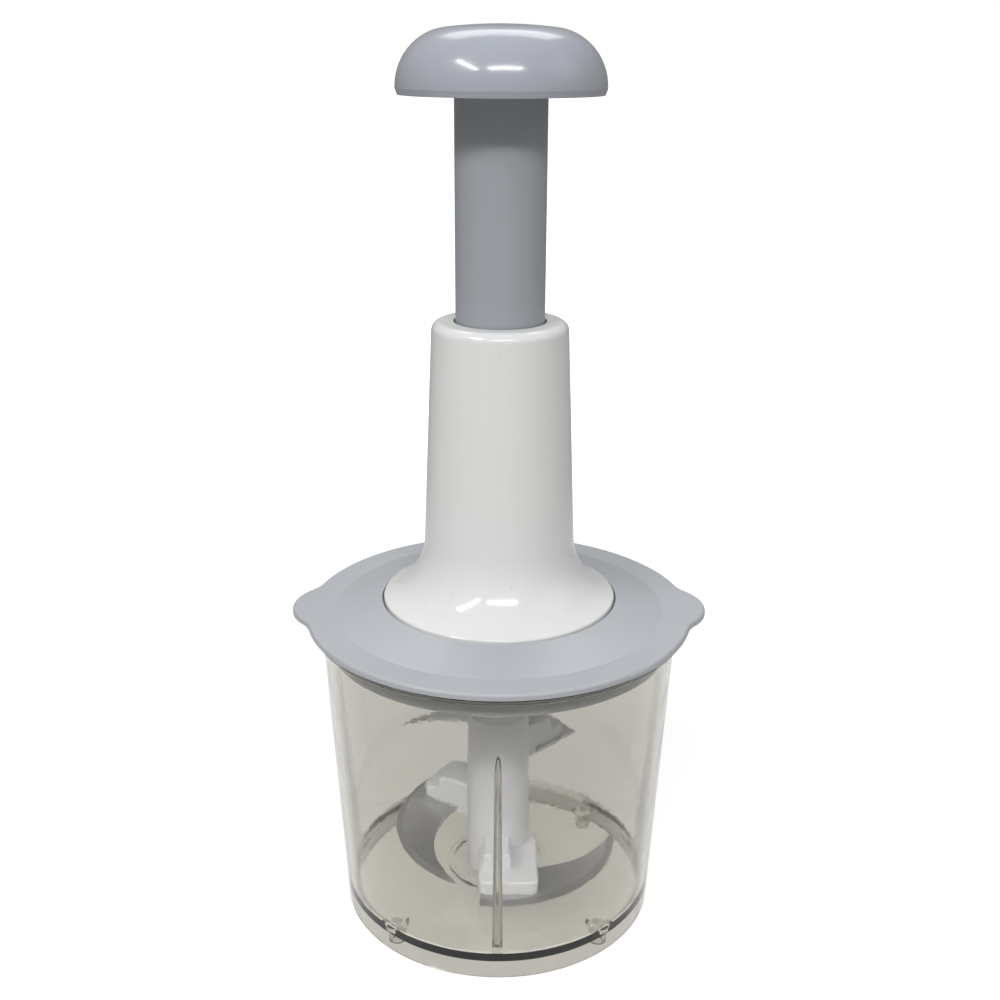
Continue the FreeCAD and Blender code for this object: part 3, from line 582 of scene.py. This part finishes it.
@dataclass(frozen=True)
class ClearPlastic(Finish):
    """Clear, lightly smoked plastic that lamps shine through, with painted shade darkening its low outer
    skirt.
    """

    name: str
    tint: Colour
    lamp_tint: Colour
    depth_tint: Colour
    depth_per_m: float
    skirt_painted_shade: Colour
    skirt_mm: float = 11.0
    skirt_reach_mm: float = 55.5
    scuff: Colour = (0.5, 0.5, 0.48)
    dust: Colour = (0.2, 0.18, 0.16)
    haze: float = 0.04
    ripple_mm: float = 0.02
    roughness: float = 0.02
    ior: float = 1.49

    def draw(self, graph: Graph, shader: bpy.types.Node, out: bpy.types.Node) -> None:
        """Draws the tint, darkened by painted shade on the low outer skirt, with specks and scuffs, and lets
        light from lamps through.

        Args:
            graph: the material's nodes.
            shader: its Principled shader.
            out: its output node.
        """
        reach, _, _, height = graph.polar()
        # Painted shade: low on the outer skirt the tint turns darker, standing in for the shadowed floor seen
        # through it.
        low = graph.spread(height, self.skirt_mm - 1.5, self.skirt_mm, 1.0, 0.0)
        outer = graph.spread(reach, self.skirt_reach_mm - 1.0, self.skirt_reach_mm, 0.0, 1.0)
        tint = graph.mix(graph.calc("MULTIPLY", low, outer), self.tint, self.skirt_painted_shade)
        skin = SKIN.place(graph, Colour=tint, Mottle=0.02, Grain_per_mm=0.5, Ripple_share=2.0)
        marks = MARKS.place(graph, Smear_per_mm=0.05, Scratch_share=0.8)
        specks = SPECKS.place(graph, Specks_per_mm=0.22, Share_with_one=0.2)
        scratch = graph.calc("MULTIPLY", marks.outputs["Scratch"], 0.2)
        scuffed = graph.mix(scratch, skin.outputs["Colour"], self.scuff)
        spoiled = graph.mix(graph.calc("MULTIPLY", specks.outputs["Speck"], 0.5), scuffed, self.dust)
        graph.feed(shader.inputs["Base Color"], spoiled)
        haze = graph.calc("MULTIPLY", marks.outputs["Smear"], self.haze)
        graph.feed(shader.inputs["Roughness"], graph.calc("ADD", haze, self.roughness))
        graph.feed(shader.inputs["Normal"], graph.bump(skin.outputs["Height"], self.ripple_mm))
        graph.fix(shader, Transmission_Weight=1.0, IOR=self.ior)
        through = graph.node("ShaderNodeBsdfTransparent")
        through.inputs[0].default_value = (*self.lamp_tint, 1.0)
        ray = graph.node("ShaderNodeLightPath")
        both = graph.node("ShaderNodeMixShader")
        graph.feed(both.inputs[0], ray.outputs["Is Shadow Ray"])
        graph.feed(both.inputs[1], shader.outputs[0])
        graph.feed(both.inputs[2], through.outputs[0])
        graph.feed(out.inputs["Surface"], both.outputs[0])
        depth = graph.node("ShaderNodeVolumeAbsorption")
        graph.fix(depth, Color=(*self.depth_tint, 1.0), Density=self.depth_per_m)
        graph.feed(out.inputs["Volume"], depth.outputs[0])


@dataclass(frozen=True)
class GroundSteel(Finish):
    """Steel with fine lines and faint stains."""

    name: str
    colour: Colour
    roughness: float
    run: LineRun
    line_mm: float = 0.012
    lines_per_mm: float = 5.0
    edge_mm: float = 0.25
    dark: float = 0.72
    bright: float = 1.3
    stain: float = 0.25

    def place(self, graph: Graph) -> bpy.types.NodeSocket:
        """Place drawn out along the lines.

        Args:
            graph: the material's nodes.

        Returns:
            The place's socket.
        """
        if self.run is LineRun.ALONG_AXIS:
            return graph.millimetres((1.0, 1.0, 0.02))
        if self.run is LineRun.ACROSS:
            return graph.millimetres((0.03, 1.0, 1.0))
        reach, x, y, height = graph.polar()
        turn = graph.calc("MULTIPLY", graph.calc("ARCTAN2", y, x), 0.4)
        made = graph.node("ShaderNodeCombineXYZ")
        for socket, source in zip(made.inputs, (reach, turn, height)):
            graph.feed(socket, source)
        return made.outputs[0]

    def draw(self, graph: Graph, shader: bpy.types.Node, out: bpy.types.Node) -> None:
        """Draws lines, stains and rubbed edges.

        Args:
            graph: the material's nodes.
            shader: its Principled shader.
            out: its output node, not used.
        """
        lines = LINES.place(graph, Place=self.place(graph), Lines_per_mm=self.lines_per_mm)
        edges = EDGES.place(graph, Width_mm=self.edge_mm, Break_up=0.3)
        dark = tuple(c * self.dark for c in self.colour)
        base = graph.mix(lines.outputs["Line"], dark, self.colour)
        stained = graph.mix(graph.calc("MULTIPLY", lines.outputs["Stain"], self.stain), base, dark)
        bright = tuple(min(1.0, c * self.bright) for c in self.colour)
        graph.feed(shader.inputs["Base Color"], graph.mix(edges.outputs["Worn"], stained, bright))
        rough = graph.spread(lines.outputs["Line"], 0.2, 0.8, self.roughness * 1.25, self.roughness * 0.8)
        rough = graph.calc("ADD", rough, graph.calc("MULTIPLY", lines.outputs["Stain"], 0.08))
        graph.feed(shader.inputs["Roughness"], rough)
        graph.feed(shader.inputs["Normal"], graph.bump(lines.outputs["Line"], self.line_mm))
        graph.fix(shader, Metallic=1.0)


LID_GREY = MouldedPlastic(
    "lid_grey", screen(175, 178, 183), 0.36, grain_per_mm=2.0, grain_mm=0.008, mottle=0.035
)
KNOB_GREY = MouldedPlastic("knob_grey", screen(166, 170, 180), 0.18, coat=0.2, grain_mm=0.003, dulling=0.08)
TUBE_GREY = MouldedPlastic("tube_grey", screen(198, 201, 208), 0.42, grain_mm=0.008, wear=0.08, speck=0.6)
BELL_WHITE = MouldedPlastic("bell_white", screen(225, 226, 225), 0.11, coat=0.2, grain_mm=0.003, mottle=0.015)
BLADE_WHITE = MouldedPlastic("blade_white", screen(229, 232, 240), 0.3, grain_mm=0.006, mottle=0.02, soft=0.25)
BUSH_NATURAL = MouldedPlastic("bush_natural", screen(214, 212, 204), 0.4, grain_mm=0.006, soft=0.2)
SEAL_GREY = MouldedPlastic("seal_grey", screen(190, 192, 196), 0.6, grain_mm=0.012, speck=0.2, soft=0.1)
BOWL_CLEAR = ClearPlastic(
    "bowl_clear",
    tint=(0.755, 0.745, 0.715),
    lamp_tint=(0.92, 0.92, 0.9),
    depth_tint=(0.4, 0.32, 0.15),
    depth_per_m=28.0,
    # Darker tint of the low outer skirt: painted shade.
    skirt_painted_shade=(0.56, 0.54, 0.51),
)
BLADE_STEEL = GroundSteel("blade_steel", screen(202, 202, 204), 0.42, LineRun.ACROSS)
TURNED_STEEL = GroundSteel("turned_steel", screen(188, 188, 190), 0.25, LineRun.ROUND_AXIS)
DRAWN_STEEL = GroundSteel("drawn_steel", screen(182, 182, 184), 0.28, LineRun.ALONG_AXIS)


def dress(nodes: dict[str, bpy.types.Object], names: Iterable[str], finish: Finish) -> None:
    """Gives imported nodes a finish.

    Args:
        nodes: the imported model's objects by name.
        names: which of them.
        finish: their finish.
    """
    for name in names:
        slots = nodes[name].data.materials
        slots.clear()
        slots.append(finish.material())


def join_rows(shape: bmesh.types.BMesh, rows: Sequence[list], closed: bool = False) -> None:
    """Joins neighbouring rows of corners with four-sided faces.

    Args:
        shape: the faces' shape.
        rows: equally long rows of its corners.
        closed: whether each row runs back to its first corner.
    """
    for one, two in zip(rows, rows[1:]):
        if closed:
            one, two = [*one, one[0]], [*two, two[0]]
        for corners in zip(one, one[1:], two[1:], two):
            shape.faces.new(corners)


def mesh_piece(
    name: str, shape: bmesh.types.BMesh, finish: Finish, smooth: bool = True
) -> bpy.types.Object:
    """Makes an object of a built shape.

    Args:
        name: the piece's name.
        shape: its faces, which are freed.
        finish: its finish.
        smooth: whether its faces are shaded round.

    Returns:
        The new object.
    """
    bmesh.ops.recalc_face_normals(shape, faces=shape.faces)
    mesh = bpy.data.meshes.new(name)
    for face in shape.faces:
        face.smooth = smooth
    shape.to_mesh(mesh)
    shape.free()
    mesh.materials.append(finish.material())
    made = bpy.data.objects.new(name, mesh)
    bpy.context.scene.collection.objects.link(made)
    return made


def turned_shape(section: Sequence[tuple[float, float]], steps: int) -> bmesh.types.BMesh:
    """Turns a half section about the upright axis.

    Args:
        section: (radius, height) points from the axis and back to it.
        steps: how many faces go round.

    Returns:
        The turned faces.
    """
    shape = bmesh.new()
    corners = [shape.verts.new((r, 0.0, z)) for r, z in section]
    edges = [shape.edges.new(pair) for pair in zip(corners, corners[1:])]
    around = {"cent": (0, 0, 0), "axis": (0, 0, 1), "angle": 2 * math.pi}
    bmesh.ops.spin(shape, geom=corners + edges, steps=steps, use_merge=True, **around)
    bmesh.ops.remove_doubles(shape, verts=shape.verts, dist=1e-7)
    return shape


@dataclass
class CrossScrew:
    """Pan head screw with a cross recess, pointing up, its head's seat at the height 0."""

    name: str
    head_r: float
    head_h: float
    shank_r: float
    shank_h: float
    thread_step: float = 1.1 * MM
    root_share: float = 0.82
    threaded_share: float = 0.85
    plain_share: float = 0.1
    steps: int = 32
    head_outline: tuple[tuple[float, float], ...] = (
        (0.0, -1.0), (0.55, -1.0), (0.8, -0.9), (0.95, -0.65), (1.0, -0.3), (1.0, 0.0)
    )
    recess_mouth: tuple[float, float, float] = (1.2, 0.3, 1.2)
    recess_floor: tuple[float, float, float] = (0.7, 0.2, 0.35)

    def section(self) -> list[tuple[float, float]]:
        """Half section of head and shank.

        Returns:
            Points from the middle of the head's face up to the tip.
        """
        points = [(self.head_r * out, self.head_h * rise) for out, rise in self.head_outline]
        turns = int((self.shank_h * self.threaded_share) / self.thread_step)
        root = self.shank_r * self.root_share
        points.append((root, 0.0))
        start = self.shank_h * self.plain_share
        for i in range(turns):
            low = start + i * self.thread_step
            points.append((root, low))
            points.append((self.shank_r, low + self.thread_step * 0.45))
            points.append((root, low + self.thread_step * 0.9))
        points += [(root, self.shank_h * 0.96), (root * 0.5, self.shank_h), (0.0, self.shank_h)]
        return points

    def cutter(self) -> bmesh.types.BMesh:
        """Tapered cross that cuts the recess.

        Returns:
            The cross as closed faces.
        """
        shape = bmesh.new()
        for turn in (0.0, math.pi / 2):
            made = bmesh.ops.create_cube(shape, size=1.0)["verts"]
            for corner in made:
                wide, narrow, down = self.recess_floor if corner.co.z > 0 else self.recess_mouth
                corner.co.x *= self.head_r * wide
                corner.co.y *= self.head_r * narrow
                corner.co.z = -self.head_h * down
            bmesh.ops.rotate(shape, verts=made, cent=(0, 0, 0), matrix=Matrix.Rotation(turn, 3, "Z"))
        return shape

    def build(self, spot: Vector, finish: Finish) -> bpy.types.Object:
        """Makes the screw at a place.

        Args:
            spot: where the seat's middle is.
            finish: its finish.

        Returns:
            The screw.
        """
        body = mesh_piece(self.name, turned_shape(self.section(), self.steps), finish)
        cut = mesh_piece(self.name + "_cutter", self.cutter(), finish, smooth=False)
        carve = body.modifiers.new("recess", "BOOLEAN")
        carve.operation = "DIFFERENCE"
        carve.use_self = True
        carve.object = cut
        settle(body)
        bpy.data.objects.remove(cut)
        body.data.transform(Matrix.Translation(spot))
        return body


def settle(piece: bpy.types.Object) -> None:
    """Applies a piece's modifiers to its mesh.

    Args:
        piece: the piece.
    """
    graph = bpy.context.evaluated_depsgraph_get()
    mesh = bpy.data.meshes.new_from_object(piece.evaluated_get(graph))
    piece.modifiers.clear()
    piece.data = mesh


@dataclass
class BowlUnit:
    """Clear bowl and the steel pin in its floor."""

    body: str = "bowl"
    finish: Finish = BOWL_CLEAR
    rib_count: int = 4
    rib_foot: tuple[float, float] = (54.6 * MM, 12.2 * MM)
    rib_head: tuple[float, float] = (61.12 * MM, 93.2 * MM)
    rib_half_w: float = 1.75 * MM
    rib_nose: float = 0.9 * MM
    rib_gap: float = 0.03 * MM
    rib_thin: float = 0.02 * MM
    rib_narrowing: float = 0.35
    nose_flattening: float = 0.55
    rib_tip: float = 0.1
    rib_rows: int = 44
    rib_spans: int = 12

    def dress(self, nodes: dict[str, bpy.types.Object]) -> None:
        """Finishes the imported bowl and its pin."""
        dress(nodes, ["bowl"], self.finish)
        dress(nodes, ["pivot_pin"], TURNED_STEEL)

    def rib_noses(self) -> list[bpy.types.Object]:
        """Makes the rounded noses of the wall ribs, which taper off toward the ribs' heads.

        Returns:
            The noses.
        """
        made = []
        (low_r, low_z), (high_r, high_z) = self.rib_foot, self.rib_head
        angles = [math.pi * k / self.rib_spans for k in range(self.rib_spans + 1)]
        for i in range(self.rib_count):
            turn = Matrix.Rotation(2 * math.pi * i / self.rib_count, 3, "Z")
            shape = bmesh.new()
            rings = []
            for row in range(self.rib_rows + 1):
                share = row / self.rib_rows
                past = max(0.0, (share - (1.0 - self.rib_tip)) / self.rib_tip)
                full = math.sqrt(max(0.0, 1.0 - past**2))
                half = max(self.rib_thin, self.rib_half_w * (1.0 - self.rib_narrowing * share) * full)
                deep = max(self.rib_thin, self.rib_nose * (1.0 - self.nose_flattening * share) * full)
                face_r = low_r + (high_r - low_r) * share - self.rib_gap
                z = low_z + (high_z - low_z) * share
                ring = [Vector((face_r - deep * math.sin(a), half * math.cos(a), z)) for a in angles]
                rings.append([shape.verts.new(turn @ point) for point in ring])
            join_rows(shape, rings, closed=True)
            shape.faces.new(rings[0])
            shape.faces.new(rings[-1])
            piece = mesh_piece(f"rib_nose_{i + 1}", shape, self.finish)
            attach(piece, self.body)
            made.append(piece)
        return made


@dataclass
class LidUnit:
    """Grey lid, white bell and what is fixed between them."""

    body: str = "lid"
    screw_count: int = 4
    screw_head_r: float = 2.9 * MM
    screw_head_h: float = 1.9 * MM
    screw_shank_r: float = 1.5 * MM
    screw_spare: float = 1.5 * MM
    spring_turns: float = 9.0
    spring_wire_r: float = 0.7 * MM
    spring_stroke: float = 66.0 * MM
    spring_steps: int = 36
    spring_bevel: int = 3
    flare_centre: tuple[float, float] = (51.74 * MM, 148.05 * MM)
    flare_r: float = 25.0 * MM
    crown_reach: tuple[float, float] = (32.8 * MM, 35.6 * MM)
    crown_half_deg: float = 4.5
    crown_depths: tuple[float, float] = (0.02 * MM, 0.7 * MM)
    crown_rows: int = 6
    crown_steps: int = 4

    def dress(self, nodes: dict[str, bpy.types.Object]) -> None:
        """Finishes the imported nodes.

        Args:
            nodes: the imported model's objects.
        """
        dress(nodes, ["lid_ring"], LID_GREY)
        dress(nodes, ["housing", "housing_base"], BELL_WHITE)
        dress(nodes, ["guide_bush", "spindle_bush"], BUSH_NATURAL)
        dress(nodes, ["lid_seal"], SEAL_GREY)

    def screws(self) -> list[bpy.types.Object]:
        """Makes the four screws from below into the bell's posts.

        Returns:
            The screws.
        """
        low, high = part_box("base_screws")
        reach = (high.x - self.screw_head_r) * math.sqrt(2.0)
        seat = low.z + self.screw_head_h
        shank_h = high.z - seat - self.screw_spare
        sizes = (self.screw_head_r, self.screw_head_h, self.screw_shank_r, shank_h)
        made = []
        for i in range(self.screw_count):
            angle = math.pi / 4 + 2 * math.pi * i / self.screw_count
            screw = CrossScrew(f"base_screw_{i + 1}", *sizes)
            spot = Vector((reach * math.cos(angle), reach * math.sin(angle), seat))
            piece = screw.build(spot, TURNED_STEEL)
            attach(piece, self.body)
            made.append(piece)
        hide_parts("base_screws")
        return made

    def post_crowns(self) -> list[bpy.types.Object]:
        """Makes the closed tops of the bell's screw posts, flush with its flare.

        Returns:
            The four tops.
        """
        near, far = self.crown_reach
        centre_r, centre_z = self.flare_centre
        steps = range(-self.crown_steps, self.crown_steps + 1)
        made = []
        for i in range(self.screw_count):
            middle = math.pi / 4 + 2 * math.pi * i / self.screw_count
            angles = [middle + math.radians(self.crown_half_deg) * k / self.crown_steps for k in steps]
            shape = bmesh.new()
            sheets = []
            for depth in self.crown_depths:
                rows = []
                for row in range(self.crown_rows + 1):
                    reach = near + (far - near) * row / self.crown_rows
                    z = centre_z - math.sqrt((self.flare_r + depth) ** 2 - (centre_r - reach) ** 2)
                    arc = [(reach * math.cos(a), reach * math.sin(a), z) for a in angles]
                    rows.append([shape.verts.new(corner) for corner in arc])
                sheets.append(rows)
            for rows in sheets:
                join_rows(shape, rows)
            for end in (0, -1):
                join_rows(shape, [rows[end] for rows in sheets])
            for side in (0, -1):
                join_rows(shape, [[row[side] for row in rows] for rows in sheets])
            piece = mesh_piece(f"post_crown_{i + 1}", shape, BELL_WHITE)
            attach(piece, self.body)
            made.append(piece)
        return made

    def spring(self) -> bpy.types.Object:
        """Makes the return spring of round wire; the real spring shortens as the knob is pressed, but this
        coil keeps its length.

        Returns:
            The spring.
        """
        low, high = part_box("return_spring")
        mean_r = high.x - self.spring_wire_r
        rise = high.z - low.z - 2 * self.spring_wire_r
        line = bpy.data.curves.new("return_spring_wire", "CURVE")
        line.dimensions = "3D"
        line.bevel_depth = self.spring_wire_r
        line.bevel_resolution = self.spring_bevel
        line.use_fill_caps = True
        run = line.splines.new("POLY")
        total = int(self.spring_turns * self.spring_steps)
        run.points.add(total)
        for i, point in enumerate(run.points):
            share = i / total
            angle = 2 * math.pi * self.spring_turns * share
            height = low.z + self.spring_wire_r + rise * share
            point.co = (mean_r * math.cos(angle), mean_r * math.sin(angle), height, 1.0)
        wire = bpy.data.objects.new("return_spring_wire", line)
        bpy.context.scene.collection.objects.link(wire)
        graph = bpy.context.evaluated_depsgraph_get()
        mesh = bpy.data.meshes.new_from_object(wire.evaluated_get(graph))
        bpy.data.objects.remove(wire)
        mesh.materials.clear()
        mesh.materials.append(TURNED_STEEL.material())
        piece = bpy.data.objects.new("return_spring_wire", mesh)
        bpy.context.scene.collection.objects.link(piece)
        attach(piece, self.body)
        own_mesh(piece)
        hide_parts("return_spring")
        return piece


@dataclass
class PlungerUnit:
    """Palm knob, sliding tube and the nut in its foot."""

    body: str = "plunger"
    screw_head_r: float = 4.0 * MM
    screw_head_h: float = 2.4 * MM
    screw_shank_r: float = 2.0 * MM

    def dress(self, nodes: dict[str, bpy.types.Object]) -> None:
        """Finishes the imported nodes.

        Args:
            nodes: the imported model's objects.
        """
        dress(nodes, ["knob_shell", "knob_base"], KNOB_GREY)
        dress(nodes, ["plunger_tube"], TUBE_GREY)
        dress(nodes, ["drive_nut"], BUSH_NATURAL)
        dress(nodes, ["nut_pins"], TURNED_STEEL)

    def screw(self) -> bpy.types.Object:
        """Makes the screw that holds knob and tube together.

        Returns:
            The screw.
        """
        low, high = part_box("knob_screw")
        seat = low.z + self.screw_head_h
        sizes = (self.screw_head_r, self.screw_head_h, self.screw_shank_r, high.z - seat)
        screw = CrossScrew("knob_cross_screw", *sizes)
        piece = screw.build(Vector((0, 0, seat)), TURNED_STEEL)
        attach(piece, self.body)
        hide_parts("knob_screw")
        return piece


@dataclass
class SpindleUnit:
    """Spiral spindle with its washer, clip, dog and spring cap."""

    body: str = "spindle"
    screw_head_r: float = 2.8 * MM
    screw_head_h: float = 1.8 * MM
    screw_shank_r: float = 1.5 * MM

    def dress(self, nodes: dict[str, bpy.types.Object]) -> None:
        """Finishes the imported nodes.

        Args:
            nodes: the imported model's objects.
        """
        dress(nodes, ["spiral_spindle"], DRAWN_STEEL)
        dress(nodes, ["thrust_washer", "retaining_clip"], TURNED_STEEL)
        dress(nodes, ["drive_dog"], BLADE_WHITE)
        dress(nodes, ["spring_cap"], BUSH_NATURAL)

    def screw(self) -> bpy.types.Object:
        """Makes the screw that holds the dog on the spindle.

        Returns:
            The screw.
        """
        low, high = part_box("dog_screw")
        seat = low.z + self.screw_head_h
        sizes = (self.screw_head_r, self.screw_head_h, self.screw_shank_r, high.z - seat)
        screw = CrossScrew("dog_cross_screw", *sizes)
        piece = screw.build(Vector((0, 0, seat)), TURNED_STEEL)
        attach(piece, self.body)
        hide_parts("dog_screw")
        return piece


@dataclass
class BladeUnit:
    """White column with three sickle blades in their holders."""

    body: str = "blade_unit"
    levels: tuple[str, ...] = ("lower", "middle", "upper")

    def dress(self, nodes: dict[str, bpy.types.Object]) -> None:
        """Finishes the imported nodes.

        Args:
            nodes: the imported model's objects.
        """
        dress(nodes, ["blade_column"], BLADE_WHITE)
        dress(nodes, ["column_bush"], BUSH_NATURAL)
        dress(nodes, [level + "_holder" for level in self.levels], BLADE_WHITE)
        dress(nodes, [level + "_blade" for level in self.levels], BLADE_STEEL)


@dataclass(frozen=True)
class Lamp:
    """Straight soft lamp between two ends."""

    name: str
    start: tuple[float, float, float]
    end: tuple[float, float, float]
    width: float
    power: float

    def hang(self, target: Vector) -> None:
        """Hangs the lamp so that it faces a point.

        Args:
            target: the point that it lights.
        """
        start, end = Vector(self.start), Vector(self.end)
        middle = (start + end) / 2
        along = (end - start).normalized()
        back = middle - target
        back = (back - along * back.dot(along)).normalized()
        lamp = bpy.data.lights.new(self.name, "AREA")
        lamp.shape = "RECTANGLE"
        lamp.size, lamp.size_y = (end - start).length, self.width
        lamp.energy = self.power
        holder = bpy.data.objects.new(self.name, lamp)
        turn = Matrix((along, back.cross(along), back)).transposed()
        holder.matrix_world = Matrix.Translation(middle) @ turn.to_4x4()
        bpy.context.scene.collection.objects.link(holder)


@dataclass
class Studio:
    """Floor, surroundings, lamps and camera."""

    floor_size: float = 30.0
    floor_drop: float = 0.0002
    floor_lit: Colour = (0.4, 0.385, 0.37)
    floor_seen: Colour = (0.38, 0.38, 0.38)
    camera_spot: tuple[float, float, float] = (0.0, -0.4279, 0.3124)
    camera_down_deg: float = 19.557
    camera_roll_deg: float = 0.266
    camera_lens: float = 45.72
    camera_shift: float = 0.0006
    camera_film: float = 36.0
    camera_near: float = 0.01
    sky: Colour = (0.5, 0.5, 0.505)
    horizon: Colour = (0.1, 0.095, 0.088)
    sky_edge: tuple[float, float] = (-0.1, 0.9)
    far_wall: Colour = (0.22, 0.22, 0.2)
    ceiling: Colour = (0.3, 0.3, 0.3)
    wall_edge: tuple[float, float] = (0.0, 0.6)
    floor_glow: float = 0.68
    floor_edge: tuple[float, float] = (0.12, 1.0)
    mirror_glow: float = 0.58
    mirror_edge: tuple[float, float] = (0.2, 0.6)
    lamps: tuple[Lamp, ...] = (
        Lamp("front_tube", (-0.52, -1.81, 1.8), (0.84, -1.72, 1.8), 0.2, 26.0),
        Lamp("side_tube", (-1.07, -1.85, 1.8), (-1.25, -0.63, 1.8), 0.16, 19.0),
        Lamp("right_fill", (1.2, -0.6, 1.0), (1.2, 0.2, 1.0), 0.8, 1.1),
        Lamp("back_fill", (-0.7, 1.05, 1.7), (0.7, 1.05, 1.7), 0.7, 9.0),
    )

    def world(self) -> None:
        """Makes surroundings that are white to the eye and light from above."""
        made = bpy.data.worlds.new("surroundings")
        bpy.context.scene.world = made
        made.use_nodes = True
        made.node_tree.nodes.clear()
        graph = Graph(made.node_tree)
        out = graph.node("ShaderNodeOutputWorld")
        toward = graph.node("ShaderNodeTexCoord").outputs["Generated"]
        split = graph.node("ShaderNodeSeparateXYZ")
        graph.feed(split.inputs[0], toward)
        lit = graph.mix(graph.spread(split.outputs[2], *self.sky_edge), self.horizon, self.sky)
        ray = graph.node("ShaderNodeLightPath")
        glossy, passing = ray.outputs["Is Glossy Ray"], ray.outputs["Is Transmission Ray"]
        wall = graph.mix(graph.spread(split.outputs[2], *self.wall_edge), self.far_wall, self.ceiling)
        mirrored = graph.mix(graph.calc("ADD", glossy, passing, clamp=True), lit, wall)
        shown = graph.mix(ray.outputs["Is Camera Ray"], mirrored, (1.0, 1.0, 1.0))
        back = graph.node("ShaderNodeBackground")
        graph.feed(back.inputs[0], shown)
        graph.feed(out.inputs[0], back.outputs[0])

    def floor(self) -> bpy.types.Object:
        """Makes the pale floor, which reads white away from the object's shadow.

        Returns:
            The floor.
        """
        shape = bmesh.new()
        half = self.floor_size / 2
        corners = ((-half, -half), (half, -half), (half, half), (-half, half))
        shape.faces.new([shape.verts.new((x, y, -self.floor_drop)) for x, y in corners])
        mesh = bpy.data.meshes.new("floor")
        shape.to_mesh(mesh)
        shape.free()
        made = bpy.data.objects.new("floor", mesh)
        bpy.context.scene.collection.objects.link(made)
        finish = bpy.data.materials.new("floor_white")
        finish.use_nodes = True
        finish.node_tree.nodes.clear()
        graph = Graph(finish.node_tree)
        out = graph.node("ShaderNodeOutputMaterial")
        ray = graph.node("ShaderNodeLightPath")
        seen = ray.outputs["Is Camera Ray"]
        for kind in ("Is Transmission Ray", "Is Glossy Ray"):
            seen = graph.calc("ADD", seen, ray.outputs[kind], clamp=True)
        plain = graph.node("ShaderNodeBsdfDiffuse")
        graph.feed(plain.inputs[0], graph.mix(seen, self.floor_lit, self.floor_seen))
        away = graph.node("ShaderNodeVectorMath", operation="LENGTH")
        graph.feed(away.inputs[0], graph.node("ShaderNodeTexCoord").outputs["Object"])
        whiter = graph.spread(away.outputs["Value"], *self.floor_edge, self.floor_glow, 1.0)
        dimmer = graph.spread(away.outputs["Value"], *self.mirror_edge, self.mirror_glow, 0.0)
        shown = graph.node("ShaderNodeMix", data_type="FLOAT")
        graph.feed(shown.inputs[0], ray.outputs["Is Camera Ray"])
        graph.feed(shown.inputs[2], dimmer)
        graph.feed(shown.inputs[3], whiter)
        glow = graph.node("ShaderNodeEmission")
        glow.inputs[0].default_value = (1.0, 1.0, 1.0, 1.0)
        graph.feed(glow.inputs[1], graph.calc("MULTIPLY", seen, shown.outputs[0]))
        both = graph.node("ShaderNodeAddShader")
        graph.feed(both.inputs[0], plain.outputs[0])
        graph.feed(both.inputs[1], glow.outputs[0])
        graph.feed(out.inputs[0], both.outputs[0])
        mesh.materials.append(finish)
        made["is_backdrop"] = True
        return made

    def light(self) -> None:
        """Hangs the soft lamps, each facing the middle of the object."""
        low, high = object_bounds()
        middle = (low + high) / 2
        for lamp in self.lamps:
            lamp.hang(middle)

    def camera(self) -> None:
        """Sets the camera at the photograph's viewing angle."""
        lens = bpy.data.cameras.new("camera")
        lens.lens = self.camera_lens
        lens.sensor_width = self.camera_film
        lens.shift_x = self.camera_shift
        lens.clip_start = self.camera_near
        holder = bpy.data.objects.new("camera", lens)
        tilt = Euler((math.radians(90.0 - self.camera_down_deg), 0.0, 0.0)).to_matrix()
        turn = tilt @ Matrix.Rotation(math.radians(self.camera_roll_deg), 3, "Z")
        holder.matrix_world = Matrix.Translation(self.camera_spot) @ turn.to_4x4()
        bpy.context.scene.collection.objects.link(holder)
        bpy.context.scene.camera = holder

    def build(self) -> None:
        """Makes the whole studio."""
        self.camera()
        self.world()
        self.floor()
        self.light()
        bpy.context.scene.view_settings.view_transform = "Standard"


def main() -> None:
    """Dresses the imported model, makes the small pieces and sets up the studio."""
    logging.basicConfig(level=logging.INFO, format="%(name)s: %(message)s")
    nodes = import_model()["nodes"]
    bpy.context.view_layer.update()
    Studio().build()
    lid, plunger, spindle = LidUnit(), PlungerUnit(), SpindleUnit()
    bowl = BowlUnit()
    for unit in (bowl, lid, plunger, spindle, BladeUnit()):
        unit.dress(nodes)
        LOG.info("dressed %s", unit.body)
    made = [*bowl.rib_noses(), *lid.screws(), *lid.post_crowns()]
    made += [lid.spring(), plunger.screw(), spindle.screw()]
    for piece in made:
        LOG.info("made %s with %d faces", piece.name, len(piece.data.polygons))


if __name__ == "__main__":
    main()
